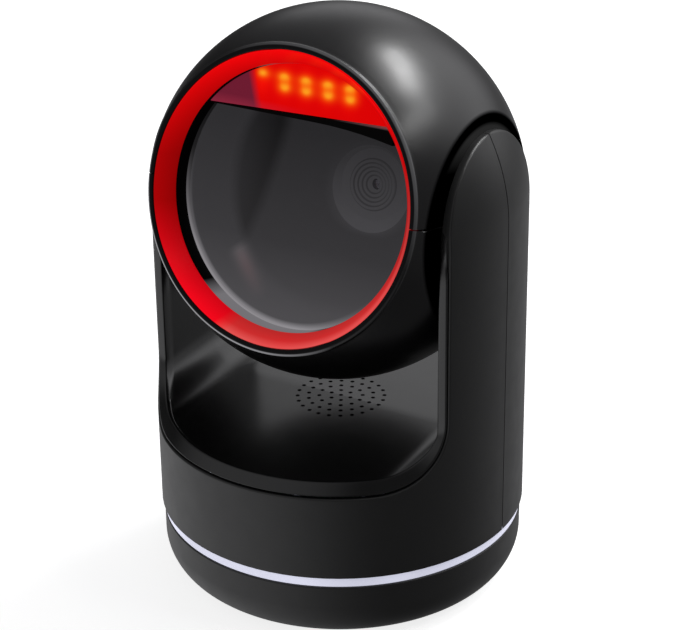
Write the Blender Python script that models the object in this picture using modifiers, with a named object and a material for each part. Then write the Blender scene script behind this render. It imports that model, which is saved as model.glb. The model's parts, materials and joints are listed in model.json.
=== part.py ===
"""Hands-free presentation scanner: a ball head that tilts in a U-shaped yoke on a round base.

World frame: metres, +Z up, origin on the table under the middle of the base, the window faces -Y.
Named dimensions are in millimetres. Head pieces are modelled in the head's own frame (x, up, forward), whose
origin is the middle of the ball, and are parented to an empty on the tilt axis.
"""

import math

import bmesh
import bpy
from mathutils import Vector

MM = 0.001
ROUND = 40
SMALL_ROUND = 16
GAP = 0.3

# Stand
BODY_R = 45.0
COVER_WALL = 1.8
SADDLE_R = 42.8
PIVOT_Z = 98.14
BASE_R = 44.4
BASE_FILLET = 10.3
BASE_BOTTOM = 0.8
BASE_WALL = 2.0
BAND_BOTTOM = 16.25
BAND_TOP = 18.8
BAND_R = 44.35
SEAM_HALF = 0.15

# Opening in the covers, as an outline seen from the side
OPENING_Z = 40.3
ARM_HALF_DEPTH = 19.8
OPENING_CORNER_R = 15.0
ARM_TOP_CENTRE_Z = 100.0
LIP_GAP_HALF = 0.25
LIP_R = 44.8
LIP_TOP_Z = 100.0

# Channel between the arms
CHANNEL_HALF = 38.1
CHANNEL_CORNER_R = 9.7
FLOOR_Z = 44.0
FLOOR_SLOPE = 0.9 / 43.0
SADDLE_WALL = 1.5
GRILLE_PITCH = 2.67
GRILLE_RINGS = 4
GRILLE_HOLE_R = 0.5
BEYOND = 60.0

# Head
HEAD_TILT = 14.5
HEAD_R = 44.5
HEAD_WALL = 2.2
HEAD_HALF = 37.0
FACE_A = 27.6
LIP_OUTER_R = 35.6
RECESS_R = 33.9
RING_BACK_A = 22.6
RING_INNER_R = 30.75
BEZEL_R = 33.5
WINDOW_FRONT_A = 18.1
WINDOW_THICK = 1.5
WINDOW_R = 32.1
CHORD_V = 18.6
PANEL_R = 30.4
LED_PITCH = 5.75
LED_V = 25.6
HOOD_R = 30.0
HOOD_WALL = 1.2
HOOD_FRONT_A = 16.2
HOOD_SHOULDER_A = 2.0
HOOD_BACK_A = -14.0
HOOD_BACK_HALF = (18.5, 15.5)
LENS_A = -17.4
LENS_POCKET_R = 10.5
LENS_POCKET_CENTRE = (0.9, -1.5)
BARREL_R = 7.8
BARREL_BORE_R = 3.2
BARREL_BACK_A = -27.0

# Tilt axis
TRUNNION_R = 6.0
TRUNNION_BORE_R = 3.5
BUSH_R = 7.8
TRUNNION_END = 41.6
TRUNNION_FLANGE_X = 33.2
FLANGE_R = 10.0

# Fasteners
POST_RING_R = 30.0
POST_R = 3.2
SCREW_R = 1.3
PILOT_R = 1.6
BOARD_POST_Y = 21.0
SCREW_HEAD_R = 2.6

# Inside the stand
MAIN_BOARD_Z = 22.0
BOARD_THICK = 1.6
BALLAST_R = 25.0
BALLAST_LOW = 3.3
BALLAST_HIGH = 7.3
SOCKET_HALF = 7.75
SOCKET_LOW = 21.0
SOCKET_HIGH = 33.5
CABLE_HALF = 2.5
CABLE_THICK = 0.3

FINISHES = {
    "body_black": ((0.022, 0.022, 0.022), 0.45, 0.0),
    "saddle_black": ((0.018, 0.018, 0.018), 0.25, 0.0),
    "base_black": ((0.022, 0.022, 0.022), 0.5, 0.0),
    "head_black": ((0.02, 0.02, 0.021), 0.42, 0.0),
    "inner_black": ((0.01, 0.01, 0.01), 0.6, 0.0),
    "band_white": ((0.75, 0.76, 0.82), 0.3, 0.0),
    "ring_red": ((0.75, 0.02, 0.01), 0.35, 0.0),
    "panel_red": ((0.7, 0.01, 0.01), 0.2, 0.0),
    "led_orange": ((1.0, 0.25, 0.02), 0.3, 0.0),
    "window_smoked": ((0.06, 0.06, 0.065), 0.05, 0.0),
    "lens_glass": ((0.1, 0.1, 0.12), 0.05, 0.0),
    "rubber": ((0.03, 0.03, 0.03), 0.85, 0.0),
    "steel": ((0.55, 0.55, 0.55), 0.35, 1.0),
    "circuit_green": ((0.02, 0.14, 0.05), 0.5, 0.0),
    "bush_plastic": ((0.6, 0.58, 0.52), 0.4, 0.0),
    "flex_amber": ((0.45, 0.2, 0.04), 0.4, 0.0),
    "cone_paper": ((0.04, 0.04, 0.04), 0.8, 0.0),
}


# ---------------------------------------------------------------- scene and materials


def clear_scene():
    for obj in list(bpy.data.objects):
        bpy.data.objects.remove(obj, do_unlink=True)


def new_collection(name):
    collection = bpy.data.collections.new(name)
    bpy.context.scene.collection.children.link(collection)
    return collection


def finish_material(name):
    material = bpy.data.materials.get(name)
    if material is None:
        colour, roughness, metallic = FINISHES[name]
        material = bpy.data.materials.new(name)
        material.use_nodes = True
        shader = material.node_tree.nodes["Principled BSDF"]
        shader.inputs["Base Color"].default_value = (*colour, 1.0)
        shader.inputs["Roughness"].default_value = roughness
        shader.inputs["Metallic"].default_value = metallic
    return material


def place(name, mesh, finish, parent):
    """A mesh as an object: with a finish it's a part, without one it's a cutter or a joined helper."""
    obj = bpy.data.objects.new(name, mesh)
    if finish:
        PARTS.objects.link(obj)
        mesh.materials.append(finish_material(finish))
    else:
        HELPERS.objects.link(obj)
        obj.hide_render = True
        obj.display_type = "WIRE"
    obj.parent = parent
    return obj


# ---------------------------------------------------------------- shapes


def arc(centre, radius, start, end, steps):
    """Points of an arc in degrees, in the plane of two coordinates."""
    points = []
    for i in range(steps + 1):
        angle = math.radians(start + (end - start) * i / steps)
        points.append((centre[0] + radius * math.cos(angle), centre[1] + radius * math.sin(angle)))
    return points


def turned(name, profile, finish=None, parent=None, closed=True, steps=ROUND):
    """A profile of (radius, height) points turned about Z. Its outer side runs from top to bottom."""
    mesh = bpy.data.meshes.new(name)
    edges = [(i, i + 1) for i in range(len(profile) - 1)]
    if closed:
        edges.append((len(profile) - 1, 0))
    mesh.from_pydata([(r * MM, 0.0, h * MM) for r, h in profile], edges, [])
    obj = place(name, mesh, finish, parent)
    screw = obj.modifiers.new("Turn", "SCREW")
    screw.axis = "Z"
    screw.steps = steps
    screw.render_steps = steps
    screw.use_merge_vertices = True
    screw.merge_threshold = 0.00001
    return obj


def solid(name, bm, finish=None, parent=None):
    """A closed bmesh as an object, with its faces turned outwards."""
    bmesh.ops.recalc_face_normals(bm, faces=bm.faces)
    mesh = bpy.data.meshes.new(name)
    bm.to_mesh(mesh)
    bm.free()
    return place(name, mesh, finish, parent)


def add_cylinder(bm, radius, bottom, top, centre=(0.0, 0.0), segments=SMALL_ROUND):
    made = bmesh.ops.create_cone(
        bm, cap_ends=True, segments=segments, radius1=radius * MM, radius2=radius * MM,
        depth=(top - bottom) * MM,
    )
    middle = Vector((centre[0], centre[1], (bottom + top) / 2)) * MM
    bmesh.ops.translate(bm, verts=made["verts"], vec=middle)
    return made["verts"]


def add_box(bm, low, high):
    made = bmesh.ops.create_cube(bm, size=1.0)
    low, high = Vector(low) * MM, Vector(high) * MM
    bmesh.ops.scale(bm, verts=made["verts"], vec=high - low)
    bmesh.ops.translate(bm, verts=made["verts"], vec=(low + high) / 2)


def cylinders(name, radius, bottom, top, centres, finish=None, parent=None, segments=SMALL_ROUND):
    bm = bmesh.new()
    for centre in centres:
        add_cylinder(bm, radius, bottom, top, centre, segments)
    return solid(name, bm, finish, parent)


def box(name, low, high, finish=None, parent=None):
    bm = bmesh.new()
    add_box(bm, low, high)
    return solid(name, bm, finish, parent)


def prism(name, outline, low, high, axis, finish=None, parent=None):
    """A flat outline extruded along an axis, between two heights on it."""
    bm = bmesh.new()
    others = [i for i in range(3) if i != axis]
    corners = []
    for point in outline:
        corner = [0.0, 0.0, 0.0]
        corner[axis] = low
        corner[others[0]], corner[others[1]] = point
        corners.append(bm.verts.new(Vector(corner) * MM))
    face = bm.faces.new(corners)
    raised = bmesh.ops.extrude_face_region(bm, geom=[face])["geom"]
    shift = Vector((0.0, 0.0, 0.0))
    shift[axis] = (high - low) * MM
    lifted = [item for item in raised if isinstance(item, bmesh.types.BMVert)]
    bmesh.ops.translate(bm, verts=lifted, vec=shift)
    return solid(name, bm, finish, parent)


def loft(name, sections, finish=None, parent=None):
    """A closed solid through rings of points, with a cap on the first ring and on the last."""
    bm = bmesh.new()
    rings = [[bm.verts.new(Vector(point) * MM) for point in section] for section in sections]
    for lower, upper in zip(rings, rings[1:]):
        for i in range(len(lower)):
            j = (i + 1) % len(lower)
            bm.faces.new((lower[i], lower[j], upper[j], upper[i]))
    bm.faces.new(rings[0])
    bm.faces.new(rings[-1])
    return solid(name, bm, finish, parent)


def combine(obj, operation, other):
    modifier = obj.modifiers.new(other.name, "BOOLEAN")
    modifier.operation = operation
    modifier.object = other
    modifier.solver = "EXACT"


def cut(obj, *others):
    for other in others:
        combine(obj, "DIFFERENCE", other)


def join(obj, *others):
    for other in others:
        combine(obj, "UNION", other)


def around(radius, count, first=0.0):
    """Centres spaced evenly on a circle."""
    return [
        (radius * math.cos(first + math.tau * i / count), radius * math.sin(first + math.tau * i / count))
        for i in range(count)
    ]


# ---------------------------------------------------------------- covers and saddle


def capsule_profile(radius, bottom):
    """Half outline of an upright cylinder with a dome round the pivot, from the top to the bottom."""
    dome = arc((0.0, PIVOT_Z), radius, 90, 0, 12)
    dome[0] = (0.0, PIVOT_Z + radius)
    return dome + [(radius, bottom)]


def side_outline(side, inset):
    """One cover seen from the side, as (y, z). side is -1 for the front and 1 for the rear."""
    low_edge = OPENING_Z - inset
    arm_y = ARM_HALF_DEPTH - inset
    corner_y = ARM_HALF_DEPTH + OPENING_CORNER_R
    corner_z = OPENING_Z + OPENING_CORNER_R
    far = BODY_R + 5.0
    below = BASE_FILLET
    points = [(SEAM_HALF, below), (far, below), (far, low_edge)]
    points += arc((corner_y, corner_z), OPENING_CORNER_R + inset, 270, 180, 8)
    crown = arc((0.0, ARM_TOP_CENTRE_Z), arm_y, 0, 90, 12)
    points += crown[:-1] + [(SEAM_HALF, ARM_TOP_CENTRE_Z + arm_y)]
    return [(side * y, z) for y, z in points]


def floor_z(y):
    return FLOOR_Z - FLOOR_SLOPE * abs(y)


def channel_section(y, offset, top):
    """The U between the arms at one depth, closed across its top. A positive offset makes it larger."""
    half = CHANNEL_HALF + offset
    radius = CHANNEL_CORNER_R + offset
    low = floor_z(y) - offset
    right = [(x, z) for x, z in arc((half - radius, low + radius), radius, 270, 360, 8)] + [(half, top)]
    left = [(-x, z) for x, z in reversed(right)]
    return [(x, y, z) for x, z in left + right]


def channel(name, offset, top, finish=None):
    return loft(name, [channel_section(y, offset, top) for y in (-BEYOND, 0.0, BEYOND)], finish)


def opening_edge(station, radius, inward):
    """A point of the covers' opening on a cylinder. Stations 0 to 1 run along the bottom edge, 1 to 2 round the
    corner and 2 to 3 up the arm. inward moves it into the opening."""
    corner_y = ARM_HALF_DEPTH + OPENING_CORNER_R
    corner_z = OPENING_Z + OPENING_CORNER_R
    if station <= 1:
        turn = station * math.acos(corner_y / BODY_R)
        return Vector((radius * math.sin(turn), -radius * math.cos(turn), OPENING_Z + inward))
    if station <= 2:
        turn = (station - 1) * math.pi / 2
        y = corner_y - (OPENING_CORNER_R - inward) * math.sin(turn)
        z = corner_z - (OPENING_CORNER_R - inward) * math.cos(turn)
    else:
        y = ARM_HALF_DEPTH + inward
        z = corner_z + (station - 2) * (LIP_TOP_Z - corner_z)
    return Vector((math.sqrt(radius**2 - y**2), -y, z))


def channel_edge(station, radius, offset):
    """A point where the channel, grown by offset, meets a cylinder, at the same stations."""
    corner_x = CHANNEL_HALF - CHANNEL_CORNER_R
    corner_r = CHANNEL_CORNER_R + offset
    low = floor_z(radius) + CHANNEL_CORNER_R
    if station <= 1:
        x = station * corner_x
        z = low - corner_r
    elif station <= 2:
        turn = (station - 1) * math.pi / 2
        x = corner_x + corner_r * math.sin(turn)
        z = low - corner_r * math.cos(turn)
    else:
        x = corner_x + corner_r
        z = low + (station - 2) * (LIP_TOP_Z - low)
    return Vector((x, -math.sqrt(radius**2 - x**2), z))


def rim_stations():
    bottom = [i / 6 for i in range(6)]
    corner = [1 + i / 8 for i in range(8)]
    arm = [2.0, 2.8, 3.0]
    return bottom + corner + arm


def rim_loft(name, side, corners):
    """A strip that follows the whole opening: left arm, bottom edge, right arm."""
    sections = []
    stations = rim_stations()
    for station in [-s for s in reversed(stations[1:])] + stations:
        ring = []
        for x, y, z in corners(abs(station)):
            ring.append((math.copysign(x, station) if station else x, side * -y, z))
        sections.append(ring)
    return loft(name, sections)


def lip_corners(station):
    """The raised lip: its face runs from the covers' edge to a ridge over the channel."""
    ridge = channel_edge(station, SADDLE_R + 0.1, -0.25)
    edge = opening_edge(station, LIP_R, LIP_GAP_HALF)
    if station > 2.8:
        edge = ridge + (edge - ridge) * 0.3
    return [
        edge,
        ridge,
        channel_edge(station, SADDLE_R - 0.9, -0.25),
        channel_edge(station, SADDLE_R - 0.9, 0.9),
    ]


def lip_clearance_corners(station):
    """The room that the covers leave for the lip behind their edge."""
    return [
        opening_edge(station, BODY_R + 0.9, 0.8),
        channel_edge(station, BODY_R + 1.5, -2.0),
        channel_edge(station, SADDLE_R - 1.1, -2.0),
        channel_edge(station, SADDLE_R - 1.1, 1.6),
    ]


def build_cover(name, side):
    inner_r = BODY_R - COVER_WALL
    bottom = BAND_TOP + 0.15
    shell = capsule_profile(BODY_R, bottom) + list(reversed(capsule_profile(inner_r, bottom)))
    cover = turned(name, shell, "body_black", closed=False)
    outline = prism(name + "_outline", side_outline(side, LIP_GAP_HALF), -BEYOND, BEYOND, 0)
    combine(cover, "INTERSECT", outline)
    cut(cover, rim_loft(name + "_lip_room", side, lip_clearance_corners))
    room_low = (-CHANNEL_HALF, -BEYOND / 2, 70.0)
    room_high = (CHANNEL_HALF, BEYOND / 2, 150.0)
    cut(cover, box(name + "_channel_room", room_low, room_high))
    return cover


def grille_centres():
    """A hole in the middle and rings of six more holes each."""
    centres = [(0.0, 0.0)]
    for ring in range(1, GRILLE_RINGS + 1):
        centres += around(ring * GRILLE_PITCH, 6 * ring)
    return centres


def build_saddle():
    """The U-shaped liner with its lips, grille, screw posts and pivot bores."""
    channel_top = 130.0
    saddle = channel("saddle", SADDLE_WALL, channel_top, "saddle_black")
    cut(saddle, channel("saddle_hollow", 0.0, channel_top + 10.0))
    under = 30.0
    capsule = turned("saddle_outline", capsule_profile(SADDLE_R, under) + [(0.0, under)], closed=False)
    combine(saddle, "INTERSECT", capsule)
    for side, word in ((-1, "front"), (1, "rear")):
        join(saddle, rim_loft(word + "_lip", side, lip_corners))
    corners = around(POST_RING_R, 4, math.pi / 4)
    board_posts = [(0.0, -BOARD_POST_Y), (0.0, BOARD_POST_Y)]
    post_bottom = BASE_BOTTOM + BASE_WALL + 0.6
    board_post_bottom = MAIN_BOARD_Z + BOARD_THICK + 0.4
    post_top = FLOOR_Z - 1.4
    join(saddle, cylinders("saddle_posts", POST_R, post_bottom, post_top, corners))
    join(saddle, cylinders("saddle_board_posts", 2.6, board_post_bottom, post_top + 0.2, board_posts))
    cut(saddle, cylinders("saddle_pilots", PILOT_R, 0.0, 14.0, corners))
    cut(saddle, cylinders("saddle_board_pilots", PILOT_R, 20.0, 31.0, board_posts))
    grille = cylinders("grille", GRILLE_HOLE_R, FLOOR_Z - 4.0, FLOOR_Z + 2.0, grille_centres(), segments=6)
    cut(saddle, grille)
    bores = cylinders("saddle_bores", BUSH_R + 0.2, -BEYOND, BEYOND, [(0.0, 0.0)], segments=20)
    bores.rotation_euler.y = math.pi / 2
    bores.location.z = PIVOT_Z * MM
    cut(saddle, bores)


# ---------------------------------------------------------------- base


def build_base():
    top = BAND_BOTTOM - 0.15
    corner_r = BASE_R - BASE_FILLET
    floor_top = BASE_BOTTOM + 2.2
    inner_r = BASE_FILLET - BASE_WALL
    outer_end = -math.degrees(math.asin((BASE_FILLET - BASE_BOTTOM) / BASE_FILLET))
    inner_start = -math.degrees(math.asin((BASE_FILLET - floor_top) / inner_r))
    inner = [(0.0, floor_top)] + arc((corner_r, BASE_FILLET), inner_r, inner_start, 0, 3)
    inner += [(BASE_R - BASE_WALL, top)]
    outer = [(BASE_R, top)] + arc((corner_r, BASE_FILLET), BASE_FILLET, 0, outer_end, 5)
    outer += [(0.0, BASE_BOTTOM)]
    base = turned("base_cover", inner + outer, "base_black", closed=False)
    join(base, cylinders("ballast_boss", 5.0, BASE_BOTTOM + 1.0, BALLAST_HIGH - GAP, [(0.0, 0.0)]))
    cut(base, cylinders("ballast_pilot", PILOT_R, floor_top - 0.5, 10.0, [(0.0, 0.0)]))
    foot_r = 5.0
    feet = around(POST_RING_R, 4)
    screws = around(POST_RING_R, 4, math.pi / 4)
    cut(base, cylinders("foot_recesses", foot_r + GAP, 0.0, BASE_BOTTOM + 0.8, feet))
    cut(base, cylinders("screw_recesses", SCREW_HEAD_R + 0.4, 0.0, BASE_BOTTOM + 1.1, screws))
    cut(base, cylinders("screw_holes", PILOT_R, 0.0, 5.0, screws))
    for word, centre in zip(("right", "rear", "left", "front"), feet):
        cylinders("foot_" + word, foot_r, 0.0, BASE_BOTTOM + 0.5, [centre], "rubber", segments=24)
    screw_head, screw_tip = (0.9, 1.6), 12.0
    for number, centre in enumerate(screws, 1):
        screw(f"base_screw_{number}", centre, *screw_head, screw_tip, SCREW_HEAD_R)


def screw(name, centre, head_low, head_high, tip, head_r, parent=None):
    """A flat head and a plain shank, whose tip can lie above or below the head."""
    bm = bmesh.new()
    add_cylinder(bm, head_r, head_low, head_high, centre, 16)
    made = solid(name, bm, "steel", parent)
    shank_low, shank_high = sorted(((head_low + head_high) / 2, tip))
    join(made, cylinders(name + "_shank", SCREW_R, shank_low, shank_high, [centre], parent=parent,
                         segments=12))
    return made


def build_ballast():
    """A steel disc over the base's boss, held by one wide screw."""
    middle = (0.0, 0.0)
    plate = cylinders("ballast_plate", BALLAST_R, BALLAST_LOW, BALLAST_HIGH, [middle], "steel", segments=32)
    cut(plate, cylinders("ballast_hole", 5.4, 2.0, 9.0, [middle]))
    head_low = BALLAST_HIGH + GAP
    screw("ballast_screw", middle, head_low, head_low + 1.4, 3.4, 7.5)


def build_band():
    """The translucent ring, with a shelf that carries its LED board."""
    low, high = BAND_BOTTOM + 0.05, BAND_TOP - 0.05
    shelf = low + 1.0
    shelf_r, wall_r = 34.6, 41.2
    profile = [(BAND_R, high), (BAND_R, low), (shelf_r, low), (shelf_r, shelf), (wall_r, shelf),
               (wall_r, high)]
    turned("light_band", profile, "band_white")
    board_low, board_high = shelf + GAP, shelf + GAP + 0.8
    inner_r, outer_r = shelf_r + 0.4, wall_r - 0.4
    ring = [(outer_r, board_high), (outer_r, board_low), (inner_r, board_low), (inner_r, board_high)]
    board = turned("band_led_board", ring, "circuit_green", steps=28)
    led_x, led_y, led_high = 1.4, 1.2, 0.8
    bm = bmesh.new()
    for x, y in around(39.0, 8, math.pi / 8):
        add_box(bm, (x - led_x, y - led_y, board_high - 0.4), (x + led_x, y + led_y, board_high + led_high))
    join(board, solid("band_leds", bm))


def build_electronics():
    build_main_board()
    build_socket()
    build_flex_cable()


def build_main_board():
    """The round decoder board with its processor, connector, coil and memory, and its two screws."""
    top = MAIN_BOARD_Z + BOARD_THICK
    board = cylinders("main_board", 26.3, MAIN_BOARD_Z, top, [(0.0, 0.0)], "circuit_green", segments=32)
    sunk = top - 0.6
    bm = bmesh.new()
    add_box(bm, (-7.0, -8.0, sunk), (7.0, 6.0, top + 1.6))
    add_box(bm, (-24.0, -4.0, sunk), (-18.0, 4.0, top + 2.9))
    add_box(bm, (10.0, 8.0, sunk), (16.0, 14.0, top + 2.4))
    add_box(bm, (12.0, -12.0, sunk), (19.0, -7.0, top + 1.0))
    join(board, solid("board_parts", bm))
    holes = [(0.0, -BOARD_POST_Y), (0.0, BOARD_POST_Y)]
    cut(board, cylinders("board_holes", PILOT_R, MAIN_BOARD_Z - 2.0, top + 2.4, holes))
    head_high = MAIN_BOARD_Z - GAP
    for word, centre in zip(("front", "rear"), holes):
        screw("board_screw_" + word, centre, head_high - 1.4, head_high, head_high + 7.3, SCREW_HEAD_R)


def build_socket():
    """The cable socket behind its window in the rear cover: a mouth and the slot of the plug's latch."""
    front_y, back_y, inner_y = 29.5, 42.4, 32.5
    past_y = back_y + 2.6
    socket = box("cable_socket", (-SOCKET_HALF, front_y, SOCKET_LOW), (SOCKET_HALF, back_y, SOCKET_HIGH),
                 "inner_black")
    mouth_half, mouth_low, mouth_high = 5.9, SOCKET_LOW + 2.2, SOCKET_HIGH - 2.3
    latch_half, latch_high = 3.2, SOCKET_HIGH - 1.1
    cut(socket, box("socket_mouth", (-mouth_half, inner_y, mouth_low), (mouth_half, past_y, mouth_high)))
    latch_low = mouth_high - 1.2
    cut(socket, box("socket_latch", (-latch_half, inner_y, latch_low), (latch_half, past_y, latch_high)))


def build_flex_cable():
    """A flat cable from the main board, up inside the left arm and into the hollow trunnion."""
    start_x, arm_x, end_x = -19.5, -42.4, -TRUNNION_FLANGE_X - 0.2
    run_z, bend_z = 27.0, 30.0
    upper = PIVOT_Z + CABLE_THICK / 2
    lower = PIVOT_Z - CABLE_THICK / 2
    inner_x = arm_x + CABLE_THICK
    run = [(start_x, run_z), (arm_x + 2.4, run_z), (arm_x, bend_z), (arm_x, upper), (end_x, upper)]
    back = [(end_x, lower), (inner_x, lower), (inner_x, bend_z + 0.1), (arm_x + 2.55, run_z + CABLE_THICK),
            (start_x, run_z + CABLE_THICK)]
    prism("head_flex_cable", run + back, -CABLE_HALF, CABLE_HALF, 1, "flex_amber")


def build_speaker():
    """The beeper under the grille: a basket with its magnet, and a dished cone."""
    rim_high = FLOOR_Z - 1.9
    rim_low, magnet_high, magnet_low = rim_high - 1.5, rim_high - 4.9, rim_high - 8.7
    rim_r, mouth_r, magnet_r = 14.0, 12.6, 8.4
    basket = [(mouth_r, rim_high), (rim_r, rim_high), (rim_r, rim_low), (magnet_r, magnet_high),
              (magnet_r, magnet_low), (0.0, magnet_low)]
    inside = [(0.0, magnet_high + 0.4), (magnet_r - 1.0, magnet_high + 0.4), (mouth_r, rim_high - 1.1)]
    turned("speaker_frame", inside + basket, "steel", closed=False, steps=20)
    cone = [(0.0, 40.6), (4.0, 39.9), (11.8, 41.9), (12.3, 41.9), (12.3, 41.4), (4.0, 39.3), (0.0, 39.9)]
    turned("speaker_cone", cone, "cone_paper", closed=False, steps=20)


# ---------------------------------------------------------------- tilt axis


def ring_profile(outer_r, inner_r, low, high):
    """The four corners of a plain ring's section, for turning."""
    return [(outer_r, high), (outer_r, low), (inner_r, low), (inner_r, high)]


def build_pivots(head):
    """On each side a flanged bush in the saddle, a friction washer, the head's hollow trunnion and its clip."""
    bush_low, bush_high = CHANNEL_HALF + 0.2, CHANNEL_HALF + 2.4
    bush_flange = bush_high - 0.6
    bush = [(BUSH_R, bush_flange), (BUSH_R, bush_low), (TRUNNION_R + GAP, bush_low),
            (TRUNNION_R + GAP, bush_high), (FLANGE_R, bush_high), (FLANGE_R, bush_flange)]
    washer = ring_profile(9.5, TRUNNION_R + 0.4, HEAD_HALF + GAP, HEAD_HALF + 0.8)
    flange_high = TRUNNION_FLANGE_X + 1.5
    stub = [(TRUNNION_BORE_R, TRUNNION_END), (TRUNNION_R, TRUNNION_END), (TRUNNION_R, flange_high),
            (FLANGE_R, flange_high), (FLANGE_R, TRUNNION_FLANGE_X), (TRUNNION_BORE_R, TRUNNION_FLANGE_X)]
    clip = ring_profile(8.2, TRUNNION_R + GAP, TRUNNION_END - 0.8, TRUNNION_END - 0.3)
    for side, word in ((-1, "left"), (1, "right")):
        turn = side * math.pi / 2
        for piece in (turned("pivot_bush_" + word, bush, "bush_plastic", steps=20),
                      turned("friction_washer_" + word, washer, "steel", steps=20)):
            piece.location.z = PIVOT_Z * MM
            piece.rotation_euler.y = turn
        for piece in (turned("trunnion_" + word, stub, "bush_plastic", head, steps=20),
                      turned("retaining_clip_" + word, clip, "steel", head, steps=20)):
            piece.rotation_euler.y = turn


# ---------------------------------------------------------------- head


def build_head_shells(head):
    rim_a = math.sqrt(HEAD_R**2 - LIP_OUTER_R**2)
    rim_angle = math.degrees(math.atan2(rim_a, LIP_OUTER_R))
    inner_r = HEAD_R - HEAD_WALL
    slab = (HEAD_HALF - 2.0, BEYOND, BEYOND)
    for side, word in ((1, "upper"), (-1, "lower")):
        name = f"head_{word}_shell"
        outer = [(0.0, FACE_A), (LIP_OUTER_R - 0.3, FACE_A), (LIP_OUTER_R, FACE_A - 0.3)]
        outer += arc((0.0, 0.0), HEAD_R, rim_angle, -90, 14)
        outer[-1] = (0.0, -HEAD_R)
        shell = turned(name, outer, "head_black", head, closed=False)
        half_low, half_high = sorted((side * SEAM_HALF, side * BEYOND))
        half = box(name + "_half", (-HEAD_HALF, half_low, -BEYOND), (HEAD_HALF, half_high, BEYOND), parent=head)
        combine(shell, "INTERSECT", half)
        recess_a = math.sqrt(inner_r**2 - RECESS_R**2)
        recess_angle = math.degrees(math.atan2(recess_a, RECESS_R))
        inner = [(0.0, FACE_A + 10.0), (RECESS_R, FACE_A + 10.0)]
        inner += arc((0.0, 0.0), inner_r, recess_angle, -90, 12)
        inner[-1] = (0.0, -inner_r)
        hollow = turned(name + "_hollow", inner, None, head, closed=False)
        combine(hollow, "INTERSECT", box(name + "_slab", tuple(-s for s in slab), slab, parent=head))
        cut(shell, hollow)
        bore = cylinders(name + "_bore", TRUNNION_R + GAP, -BEYOND, BEYOND, [(0.0, 0.0)], parent=head,
                         segments=20)
        bore.rotation_euler.y = math.pi / 2
        cut(shell, bore)
        bosses = [(x, y) for x, y in bezel_screw_centres() if y * side > 0]
        join(shell, cylinders(name + "_bosses", 2.0, 17.7, 21.6, bosses, parent=head, segments=12))
        cut(shell, cylinders(name + "_pilots", 1.1, 15.0, 20.8, bosses, parent=head, segments=12))


def bezel_screw_centres():
    return [(x * 22.0, y * 28.8) for x in (-1, 1) for y in (-1, 1)]


def build_face(head):
    turned("red_light_ring", [(RECESS_R - 0.2, FACE_A - 0.1), (RECESS_R - 0.2, RING_BACK_A),
                              (RING_INNER_R, RING_BACK_A), (RECESS_R - 0.5, FACE_A - 0.1)], "ring_red", head)
    window_seat = WINDOW_FRONT_A + GAP
    flange_front, flange_back, flange_r = 17.2, 15.8, 38.0
    inner_r = RING_INNER_R - 0.05
    bezel_front = RING_BACK_A - GAP
    bezel = turned("window_bezel", [
        (inner_r, bezel_front), (BEZEL_R, bezel_front), (BEZEL_R, flange_front), (flange_r, flange_front),
        (flange_r, flange_back), (WINDOW_R + GAP, flange_back), (WINDOW_R + GAP, window_seat),
        (inner_r, window_seat),
    ], "inner_black", head)
    span = math.sqrt(inner_r**2 - CHORD_V**2) + 0.6
    panel_low, panel_high = 20.8, 21.8
    web_low = (-span, CHORD_V - 1.0, window_seat)
    web_high = (span, CHORD_V - 0.3, panel_high)
    join(bezel, box("chord_web", web_low, web_high, parent=head))
    flange_x = HEAD_HALF - 2.0 - GAP
    slab = box("bezel_slab", (-flange_x, -BEYOND, 0.0), (flange_x, BEYOND, BEYOND), parent=head)
    combine(bezel, "INTERSECT", slab)
    centres = bezel_screw_centres()
    cut(bezel, cylinders("bezel_holes", 1.3, 10.0, 17.9, centres, parent=head, segments=12))
    for number, centre in enumerate(centres, 1):
        head_screw = cylinders(f"bezel_screw_{number}", 1.7, 14.3, 15.5, [centre], "steel", head, 12)
        join(head_screw, cylinders(f"bezel_screw_{number}_shank", 0.8, 15.0, 20.2, [centre], parent=head,
                                   segments=10))
    cylinders("scan_window", WINDOW_R, WINDOW_FRONT_A - WINDOW_THICK, WINDOW_FRONT_A, [(0.0, 0.0)],
              "window_smoked", head, 64)

    segment = segment_outline(PANEL_R, CHORD_V)
    board_low, board_high = 18.8, 19.6
    prism("led_panel", segment, panel_low, panel_high, 2, "panel_red", head)
    prism("led_board", segment, board_low, board_high, 2, "circuit_green", head)
    led_x, led_y = 1.7, 1.8
    for number in range(5):
        x = (number - 2) * LED_PITCH
        led_low = (x - led_x, LED_V - led_y, board_high + 0.2)
        led_high = (x + led_x, LED_V + led_y, panel_low - 0.2)
        box(f"led_{number + 1}", led_low, led_high, "led_orange", head)


def segment_outline(radius, chord):
    """The part of a disc above a level chord."""
    start = math.degrees(math.asin(chord / radius))
    return arc((0.0, 0.0), radius, start, 180 - start, 24)


def hood_section(a, half_width, half_height, power, count=28):
    """A ring between a circle (power 1) and a rounded rectangle (a lower power), by superellipse."""
    ring = []
    for i in range(count):
        angle = math.tau * i / count
        x = math.copysign(abs(math.cos(angle)) ** power, math.cos(angle)) * half_width
        y = math.copysign(abs(math.sin(angle)) ** power, math.sin(angle)) * half_height
        ring.append((x, y, a))
    return ring


def hood_solid(name, grow, front_a, back_a, finish=None, parent=None):
    """A round drum behind the window that tapers from its shoulder to a rounded rectangle at the back."""
    drum_r = HOOD_R + grow
    back_width, back_height = (half + grow for half in HOOD_BACK_HALF)
    back_power = 0.45
    sections = [hood_section(front_a, drum_r, drum_r, 1.0)]
    steps = 4
    for i in range(steps + 1):
        f = i / steps
        width = drum_r + (back_width - drum_r) * f
        height = drum_r + (back_height - drum_r) * f
        a = HOOD_SHOULDER_A + (back_a - HOOD_SHOULDER_A) * f
        sections.append(hood_section(a, width, height, 1.0 + (back_power - 1.0) * f))
    return loft(name, sections, finish, parent)


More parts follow.
